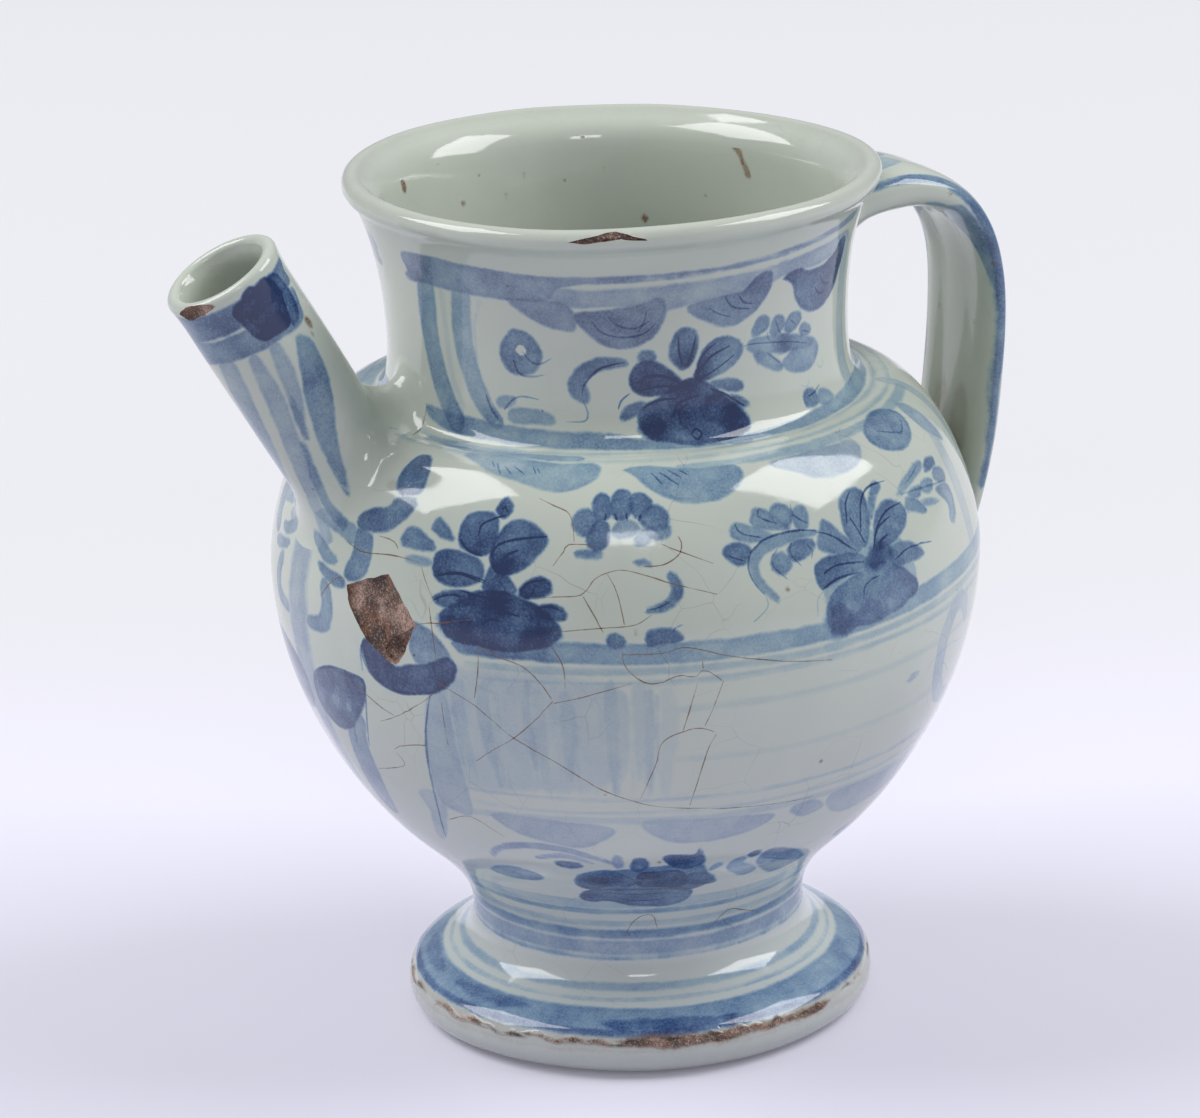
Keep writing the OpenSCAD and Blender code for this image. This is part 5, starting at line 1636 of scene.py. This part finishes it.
class JAR_OT_foot(bpy.types.Operator):
    """Spreading hollow foot."""
    bl_idname = "jar.foot"
    bl_label = "Foot"

    def execute(self, context):
        lines = Profile(context.scene.jar_sizes)
        outside, inside = even(lines.foot_out, FOOT_STEP), even(lines.foot_in, INSIDE_STEP)
        line = np.vstack([outside, inside, lines.foot_out[:1]])
        piece = spun("painted_foot", line, True)
        wobbled(piece)
        mark_breaks(piece)
        paint_jar(piece, lines, foot_marks())
        finished(piece, "foot", glazed("foot glaze", crackle=0.2, specks=0.04))
        return {"FINISHED"}


class JAR_OT_body(bpy.types.Operator):
    """Round body with its hollow."""
    bl_idname = "jar.body"
    bl_label = "Body"

    def execute(self, context):
        lines = Profile(context.scene.jar_sizes)
        base = lines.body_out[0, 1]
        under = np.array([[0, base], [12, base], [24, base], [34, base]])
        inside = even(lines.body_in, INSIDE_STEP)
        floor = np.array([[8, inside[-1, 1]], [0, inside[-1, 1]]])
        line = np.vstack([under, even(lines.body_out, OUTSIDE_STEP), inside, floor])
        piece = spun("painted_body", line, False)
        wobbled(piece)
        spout = SpoutForm(context.scene.spout_sizes, lines)
        chipped(piece, spout.passage_rings(), False)
        chipped(piece, flake_rings(lines, BODY_LOSS, BODY_LOSS_DEPTH), True)
        chipped(piece, flake_rings(lines, BODY_LOSS_LOW, BODY_LOSS_LOW_DEPTH), True)
        mark_breaks(piece)
        paint_jar(piece, lines, body_marks())
        finished(piece, "body", glazed("body glaze", crackle=0.4, specks=0.05))
        return {"FINISHED"}


class JAR_OT_neck(bpy.types.Operator):
    """Wide neck with its rolled lip."""
    bl_idname = "jar.neck"
    bl_label = "Neck"

    def execute(self, context):
        lines = Profile(context.scene.jar_sizes)
        outside, inside = even(lines.neck_out, OUTSIDE_STEP), even(lines.neck_in, NECK_INSIDE_STEP)
        line = np.vstack([outside, inside[1:], lines.neck_out[:1]])
        piece = spun("painted_neck", line, True)
        wobbled(piece)
        chipped(piece, flake_rings(lines, RIM_LOSS, RIM_LOSS_DEPTH), True)
        mark_breaks(piece)
        paint_jar(piece, lines, neck_marks(), inside_stains())
        sagged(piece)
        finished(piece, "neck", glazed("neck glaze", crackle=0.08, specks=0.04))
        return {"FINISHED"}


# How far the ends of spout and strap go under the jar's surface, in millimetres
ROOT_SUNK = 1.5


def eased(ring, rounds):
    """Values or points eased along a closed ring."""
    for _ in range(rounds):
        ring = (np.roll(ring, 1, 0) + 2 * ring + np.roll(ring, -1, 0)) / 4
    return ring


def crossing(places, away):
    """Place where a distance first falls below 0."""
    hit = np.argmax(away < 0)
    share = away[hit - 1] / (away[hit - 1] - away[hit])
    return places[hit - 1] + share * (places[hit] - places[hit - 1])


def root_fillet(lines, centre, ball, side, rounds, shares):
    """Rings of a root's fillet from under the jar's surface outwards, shaped by balls that touch the jar.
    The shares of the fillet go from 1 at the jar to 0 at the root's own skin, which lies towards side."""
    normal = lines.near(centre)[2]
    turn = np.arccos(np.clip((side * normal).sum(1), -1, 1)) + 1e-6
    ball, bend = ball[:, None], turn[:, None]
    touch = centre - ball * normal
    rest = eased(touch, rounds)
    away, _, out = lines.near(rest)
    rest = rest - away[:, None] * out
    rings = [rest - ROOT_SUNK * out]
    for share in shares:
        mix = (np.sin((1 - share) * bend) * side + np.sin(share * bend) * normal) / np.sin(bend)
        rings.append(centre - ball * mix + (rest - touch) * share ** 1.5)
    return rings


class SpoutForm:
    """Where the spout's axis lies, and the rings of its skin in millimetres."""
    SIDES, PASSAGE_SIDES, FLAKE_SIDES = 80, 48, 24
    # How far the mouth flares and over what depth, and the radius of its lip
    FLARE, FLARE_RUN, LIP = 0.7, 9, 1.6
    # Depth of the stopper's seat below the mouth, and of the taper below it
    SEAT, TAPER = 1.2 + 22, 8
    # How far under the jar's outside the bore ends
    BORE_SUNK = 1.2
    # Depths between which the root meets the jar, and the step of the search for it
    ROOT_DEPTHS = (20, 90, 0.2)
    # How much the root's edge is eased along the jar
    EASE = 10

    def __init__(self, size, lines):
        self.size = in_mm(size)
        self.lines = lines
        tilt = size.tilt
        self.axis = np.array([-math.sin(tilt), 0, math.cos(tilt)])
        self.inward = np.array([math.cos(tilt), 0, math.sin(tilt)])
        foot = np.array([-self.size["out"], 0, self.size["height"]])
        self.mouth = foot + self.size["tube_length"] * self.axis

    def at(self, depth, radius, angle):
        """Points at a depth below the mouth, at a radius and an angle from the neck's side."""
        depth, radius, angle = np.broadcast_arrays(depth, radius, angle)
        side = np.cos(angle)[:, None] * self.inward + np.sin(angle)[:, None] * np.array([0, 1, 0])
        return self.mouth - depth[:, None] * self.axis + radius[:, None] * side

    def depth_where(self, radius, angle, wanted):
        """Depth at which each generator comes to the wanted distance from the jar's outside."""
        depths = np.arange(*self.ROOT_DEPTHS)
        found = np.empty(len(angle))
        for k in range(len(angle)):
            points = self.at(depths, radius[k], angle[k])
            found[k] = crossing(depths, self.lines.near(points)[0] - wanted[k])
        return found

    def rings(self):
        """Rings of the skin, from the root's edge up the outside and down the bore."""
        size = self.size
        angle = np.linspace(0, math.tau, self.SIDES, endpoint=False)
        web = np.maximum(0, np.cos(angle)) ** 3
        heel = np.maximum(0, -np.cos(angle)) ** 2
        ball = size["flank"] + (size["web"] - size["flank"]) * web + (size["heel"] - size["flank"]) * heel
        centre_r = size["radius"] + ball
        depth = self.depth_where(centre_r, angle, ball)
        centre = self.at(depth, centre_r, angle)
        side = (centre - self.at(depth, 0, angle)) / centre_r[:, None]
        rings = root_fillet(self.lines, centre, ball, side, self.EASE, np.linspace(1, 0, 15))
        flare, flare_run, lip = self.FLARE, self.FLARE_RUN, self.LIP
        for share in np.linspace(1, 0, 42)[1:]:
            below = lip + (depth - lip) * share
            wide = size["radius"] + flare * np.clip(1 - below / flare_run, 0, 1) ** 2
            rings.append(self.at(below, wide, angle))
        edge = size["radius"] + flare * (1 - lip / flare_run) ** 2
        for turned in np.linspace(0, math.pi, 11)[1:]:
            rings.append(self.at(lip * (1 - math.sin(turned)), edge - lip + lip * math.cos(turned), angle))
        for below in np.linspace(lip + 1, self.SEAT, 8):
            rings.append(self.at(below, size["bore"], angle))
        narrow = np.full(len(angle), size["passage"])
        start = self.SEAT + self.TAPER
        end = self.depth_where(narrow, angle, np.full(len(angle), -self.BORE_SUNK))
        for share in np.linspace(0, 1, 8):
            rings.append(self.at(start + (end - start) * share, narrow, angle))
        return rings

    def passage_rings(self):
        """Rings of the hole that leads from the spout into the body, a hair wider than the bore."""
        angle = np.linspace(0, math.tau, self.PASSAGE_SIDES, endpoint=False)
        radius = self.size["passage"] + 0.05
        return [self.at(depth, radius, angle) for depth in (44, 56, 68, 80)]

    def lip_flake(self):
        """Rings of the small flake that is gone from the lip."""
        round_it = np.linspace(0, math.tau, self.FLAKE_SIDES, endpoint=False)
        middle, spread_out, deep, down = -146, 21, 0.7, 2.6
        rings = []
        for turned in np.radians((-80, -50, -20, 10, 40, 70)):
            wide = math.cos(turned) * (1 + 0.16 * np.sin(3 * round_it + 1) + 0.1 * np.sin(7 * round_it))
            angle = np.radians(middle + spread_out * wide * np.cos(round_it))
            depth = deep + down * wide * np.sin(round_it)
            radius = self.size["radius"] + self.FLARE + 1.4 * math.sin(turned)
            rings.append(self.at(depth, radius, angle))
        return rings[::-1]


class JAR_OT_spout(bpy.types.Operator):
    """Slanting spout with its root spread over shoulder and neck."""
    bl_idname = "jar.spout"
    bl_label = "Spout"

    def execute(self, context):
        lines = Profile(context.scene.jar_sizes)
        form = SpoutForm(context.scene.spout_sizes, lines)
        piece = lofted("painted_spout", form.rings(), True)
        wobbled(piece)
        chipped(piece, form.lip_flake(), True)
        mark_breaks(piece)
        paint_spout(piece, form, lines)
        finished(piece, "spout", glazed("spout glaze", crackle=0.1, specks=0.08))
        return {"FINISHED"}


class StrapForm:
    """The strap's middle line, its section and the rings of its skin in millimetres."""
    SIDES = 72
    # Place along the middle line at which the strap ends, inside the body
    END = 1.86
    # From this place on the strap thins and narrows, over so much of the line
    TAIL, TAIL_RUN = 1.4, 0.6
    # Grooves across the inner face
    GROOVES = 3
    # How much the root's meeting with the jar, and then its edge, is eased
    MEETING_EASE, EDGE_EASE = 10, 4
    # Steps along the skin by which directions are found
    SMALL, TINY = 0.004, 0.002
    # Where the strap's root is looked for, from the arch back to the neck
    ROOT_PLACES = (0.7, 0, 141)

    def __init__(self, size, jar, lines):
        self.size = in_mm(size)
        self.lines = lines
        throat, belly = jar.throat_radius / MM, jar.belly_radius / MM
        top, belly_z = jar.top_height / MM, jar.belly_height / MM
        side = belly + self.size["stand"]
        self.arch = np.array([[throat - 4, top - 17], [throat + 14, top - 9.5],
                              [side, top - 10], [side, top - 42]])
        self.fall = np.array([[side, top - 42], [side, top - 57],
                              [belly + 6.2, belly_z - 8], [belly - 15, belly_z - 38]])

    def middle(self, t):
        """Points of the middle line: the arch for t from 0 to 1, the fall from 1 to 2."""
        t = np.asarray(t, float)
        over = t >= 1
        f = np.where(over, t - 1, t)[:, None]
        u = 1 - f
        way = np.where(over[:, None, None], self.fall, self.arch)
        return (way[:, 0] * u**3 + 3 * way[:, 1] * u * u * f + 3 * way[:, 2] * u * f * f
                + way[:, 3] * f**3)

    def skin(self, t, a):
        """Points of the strap's skin at places t along it and angles a round its section."""
        t, a = np.broadcast_arrays(np.asarray(t, float), np.asarray(a, float))
        size = self.size
        ahead = self.middle(t + self.TINY) - self.middle(t - self.TINY)
        ahead /= np.linalg.norm(ahead, axis=1)[:, None]
        thin = np.clip((t - 0.3) / 0.6, 0, 1)
        thick = size["root_thickness"] + (size["thickness"] - size["root_thickness"]) * thin
        tail = np.clip((t - self.TAIL) / self.TAIL_RUN, 0, 1)
        thick = thick - size["thickness"] * 0.4 * tail ** 2
        wide = size["width"] * (1 - 0.35 * tail ** 1.5)
        across = wide / 2 * np.sign(np.cos(a)) * np.abs(np.cos(a)) ** 0.55
        through = thick / 2 * np.sign(np.sin(a)) * np.abs(np.sin(a)) ** 0.75
        groove = size["groove"] * (1 - np.cos(math.tau * self.GROOVES * across / wide)) / 2
        groove = groove * (0.3 + 0.6 * np.clip(across / 8 + 0.5, 0, 1))
        edge = 1 - np.abs(2 * across / wide) ** 4
        through = through + np.where(np.sin(a) < 0, groove * edge, 0)
        middle = self.middle(t)
        return np.stack([middle[:, 0] - ahead[:, 1] * through, across,
                         middle[:, 1] + ahead[:, 0] * through], 1)

    def normal(self, t, a):
        """Outward direction of the skin."""
        e = self.SMALL
        down = self.skin(np.clip(t + e, 0, 2), a) - self.skin(np.clip(t - e, 0, 2), a)
        round_it = self.skin(t, a + e) - self.skin(t, a - e)
        out = np.cross(round_it, down)
        return out / np.maximum(np.linalg.norm(out, axis=1), 1e-9)[:, None]

    def meeting(self, places, a, ball):
        """Place along the strap where a ball on each generator touches the jar, and the ball's centre."""
        found = np.empty(len(a))
        for k in range(len(a)):
            angle = np.full(len(places), a[k])
            centre = self.skin(places, angle) + ball[k] * self.normal(places, angle)
            found[k] = crossing(places, self.lines.near(centre)[0] - ball[k])
        found = eased(found, self.MEETING_EASE)
        centre = self.skin(found, a) + ball[:, None] * self.normal(found, a)
        return found, centre

    def rings(self):
        """Rings of the skin from the root's edge under the lip to the end in the belly."""
        a = np.linspace(0, math.tau, self.SIDES, endpoint=False)
        under, over = np.maximum(0, -np.sin(a)), np.maximum(0, np.sin(a))
        at_edge, more_under, less_over = 4, 10, 2.5
        ball = at_edge + more_under * under - less_over * over
        first, centre = self.meeting(np.linspace(*self.ROOT_PLACES), a, ball)
        side = (centre - self.skin(first, a)) / ball[:, None]
        rings = root_fillet(self.lines, centre, ball, side, self.EDGE_EASE, np.linspace(1, 0, 10)[:-1])
        for share in np.linspace(0, 1, 90):
            rings.append(self.skin(first + (self.END - first) * share, a))
        return rings


class JAR_OT_handle(bpy.types.Operator):
    """Pulled strap handle, from under the lip down to the belly."""
    bl_idname = "jar.handle"
    bl_label = "Handle"

    def execute(self, context):
        lines = Profile(context.scene.jar_sizes)
        form = StrapForm(context.scene.handle_sizes, context.scene.jar_sizes, lines)
        piece = lofted("painted_handle", form.rings(), False)
        wobbled(piece)
        mark_breaks(piece)
        paint_handle(piece, form)
        finished(piece, "handle", glazed("handle glaze", crackle=0.12, specks=0.08))
        return {"FINISHED"}


class JAR_OT_stage(bpy.types.Operator):
    """Floor, soft lights and the camera."""
    bl_idname = "jar.stage"
    bl_label = "Stage"

    def execute(self, context):
        scene = context.scene
        scene.view_settings.view_transform = "Standard"
        paint_world(scene)
        lay_floor(scene)
        hang_lights()
        place_camera(scene)
        return {"FINISHED"}


def paint_world(scene):
    """Even soft light from all round, and the pale paper for the camera."""
    world = bpy.data.worlds.new("studio")
    scene.world = world
    world.use_nodes = True
    world.node_tree.nodes.clear()
    board = Board(world.node_tree)
    light_colour, light_strength = (0.93, 0.95, 1, 1), 0.42
    light = board.add("Background", {"Color": light_colour, "Strength": light_strength}).outputs[0]
    paper = board.add("Background", {"Color": (*scene.jar_colours.backdrop, 1)}).outputs[0]
    path = board.add("LightPath").outputs
    seen = board.math("MAXIMUM", path["Is Camera Ray"], path["Is Transmission Ray"])
    mix = board.add("MixShader", {0: seen, 1: light, 2: paper}).outputs[0]
    board.add("OutputWorld", {"Surface": mix})


# Width of the floor in metres
FLOOR_SIZE = 12


def lay_floor(scene):
    """A wide pale floor that keeps the jar's shadow and pales towards the back."""
    deselect()
    bpy.ops.mesh.primitive_plane_add(size=FLOOR_SIZE)
    floor = bpy.context.object
    floor.name = floor.data.name = "floor"
    paper = bpy.data.materials.new("floor paper")
    paper.use_nodes = True
    board = Board(paper.node_tree)
    shader = paper.node_tree.nodes["Principled BSDF"]
    tints = scene.jar_colours
    place = board.add("TexCoord").outputs["Object"]
    back = (0.42, 0.907, 0)
    behind = board.add("VectorMath", {0: place, 1: back}, operation="DOT_PRODUCT").outputs["Value"]
    # Where the floor turns into the far floor, in metres behind the jar
    turns, turned = 0.1, 0.32
    far = board.spread(behind, turns, turned, 0, 1, True)
    shade = board.mix(far, (*tints.floor, 1), (*tints.far_floor, 1))
    board.plug(shader.inputs["Base Color"], shade)
    shader.inputs["Roughness"].default_value = 0.9
    path = board.add("LightPath").outputs
    seen = board.math("MAXIMUM", path["Is Camera Ray"], path["Is Glossy Ray"])
    seen = board.math("MAXIMUM", seen, path["Is Transmission Ray"])
    # The floor glows a little for the eye, more towards the jar, less behind it and most far away
    near = board.spread(behind, -0.3, 0.05, 0.06, 0.23)
    horizon = board.spread(behind, 0.4, 1.5, 0, 0.26)
    own = board.math("ADD", board.spread(far, 0, 1, near, 0.1), horizon)
    lift = board.math("MULTIPLY", seen, own)
    board.plug(shader.inputs["Emission Color"], shade)
    board.plug(shader.inputs["Emission Strength"], lift)
    floor.data.materials.append(paper)
    deselect()


def soft_box(name, place, target, width, height, power):
    """A rectangular lamp that looks at a point, all in metres."""
    lamp = bpy.data.lights.new(name, "AREA")
    lamp.shape = "RECTANGLE"
    lamp.size, lamp.size_y = width, height
    lamp.energy = power
    box = bpy.data.objects.new(name, lamp)
    bpy.context.scene.collection.objects.link(box)
    box.location = place
    box.rotation_euler = (Vector(target) - Vector(place)).to_track_quat("-Z", "Y").to_euler()


def hang_lights():
    """Two large soft boxes at the sides, and a small lamp over the camera."""
    middle = Vector((0, 0, 0.13))
    # Degrees round and up, then distance, width and height in metres, and watts
    lamps = (("left box", -120, 48, 2.2, 1.36, 1.36, 31), ("right box", 65, 45, 2.2, 1.36, 1.3, 31),
             ("front lamp", -23, 35, 2.0, 0.5, 0.24, 2.2))
    for name, turned, raised, away, width, height, power in lamps:
        turned, raised = math.radians(turned), math.radians(raised)
        ahead = Vector((math.cos(raised) * math.sin(turned), -math.cos(raised) * math.cos(turned),
                        math.sin(raised)))
        soft_box(name, middle + away * ahead, middle, width, height, power)


def place_camera(scene):
    """The photograph's view, in pixels, millimetres of sensor, metres and radians."""
    photo_width, focal_px, sensor = 1200, 5262, 36
    lens = bpy.data.cameras.new("view")
    lens.sensor_width = sensor
    lens.lens = focal_px / photo_width * sensor
    lens.dof.use_dof = False
    eye = bpy.data.objects.new("view", lens)
    scene.collection.objects.link(eye)
    distance, height, azimuth = 1.148, 0.4848, math.radians(VIEW_TURN)
    yaw, pitch, roll = -0.00507, 0.3181, 0.0390
    ahead = Vector((math.sin(yaw) * math.cos(pitch), math.cos(yaw) * math.cos(pitch), -math.sin(pitch)))
    level = ahead.cross(Vector((0, 0, 1))).normalized()
    upright = level.cross(ahead)
    right = math.cos(roll) * level - math.sin(roll) * upright
    up = math.sin(roll) * level + math.cos(roll) * upright
    turn = Matrix((right, up, -ahead)).transposed().to_4x4()
    place = Matrix.Translation((0, -distance, height)) @ turn
    eye.matrix_world = Matrix.Rotation(azimuth, 4, "Z") @ place
    scene.camera = eye


class JAR_PT_panel(bpy.types.Panel):
    """Sizes, colours and the pieces of the jar."""
    bl_idname = "JAR_PT_panel"
    bl_label = "Drug jar"
    bl_space_type = "VIEW_3D"
    bl_region_type = "UI"
    bl_category = "Drug jar"

    def draw(self, context):
        scene = context.scene
        for group in (scene.jar_sizes, scene.spout_sizes, scene.handle_sizes, scene.jar_colours):
            box = self.layout.box()
            for name in group.__annotations__:
                box.prop(group, name)
        for operator in OPERATORS:
            self.layout.operator(operator.bl_idname)


GROUPS = {"jar_sizes": JarSizes, "spout_sizes": SpoutSizes, "handle_sizes": HandleSizes,
          "jar_colours": JarColours}
OPERATORS = (JAR_OT_stage, JAR_OT_foot, JAR_OT_body, JAR_OT_neck, JAR_OT_spout, JAR_OT_handle)
CLASSES = (*GROUPS.values(), *OPERATORS, JAR_PT_panel)


def register():
    """Registers the classes and hangs the property groups on the scene."""
    for item in CLASSES:
        bpy.utils.register_class(item)
    for name, group in GROUPS.items():
        setattr(bpy.types.Scene, name, bpy.props.PointerProperty(type=group))


def unregister():
    """Takes back what register did."""
    for name in GROUPS:
        delattr(bpy.types.Scene, name)
    for item in reversed(CLASSES):
        bpy.utils.unregister_class(item)


def main():
    """Makes the stage and the pieces in order."""
    register()
    bpy.ops.jar.stage()
    bpy.ops.jar.foot()
    bpy.ops.jar.body()
    bpy.ops.jar.neck()
    bpy.ops.jar.spout()
    bpy.ops.jar.handle()


if __name__ == "__main__":
    main()
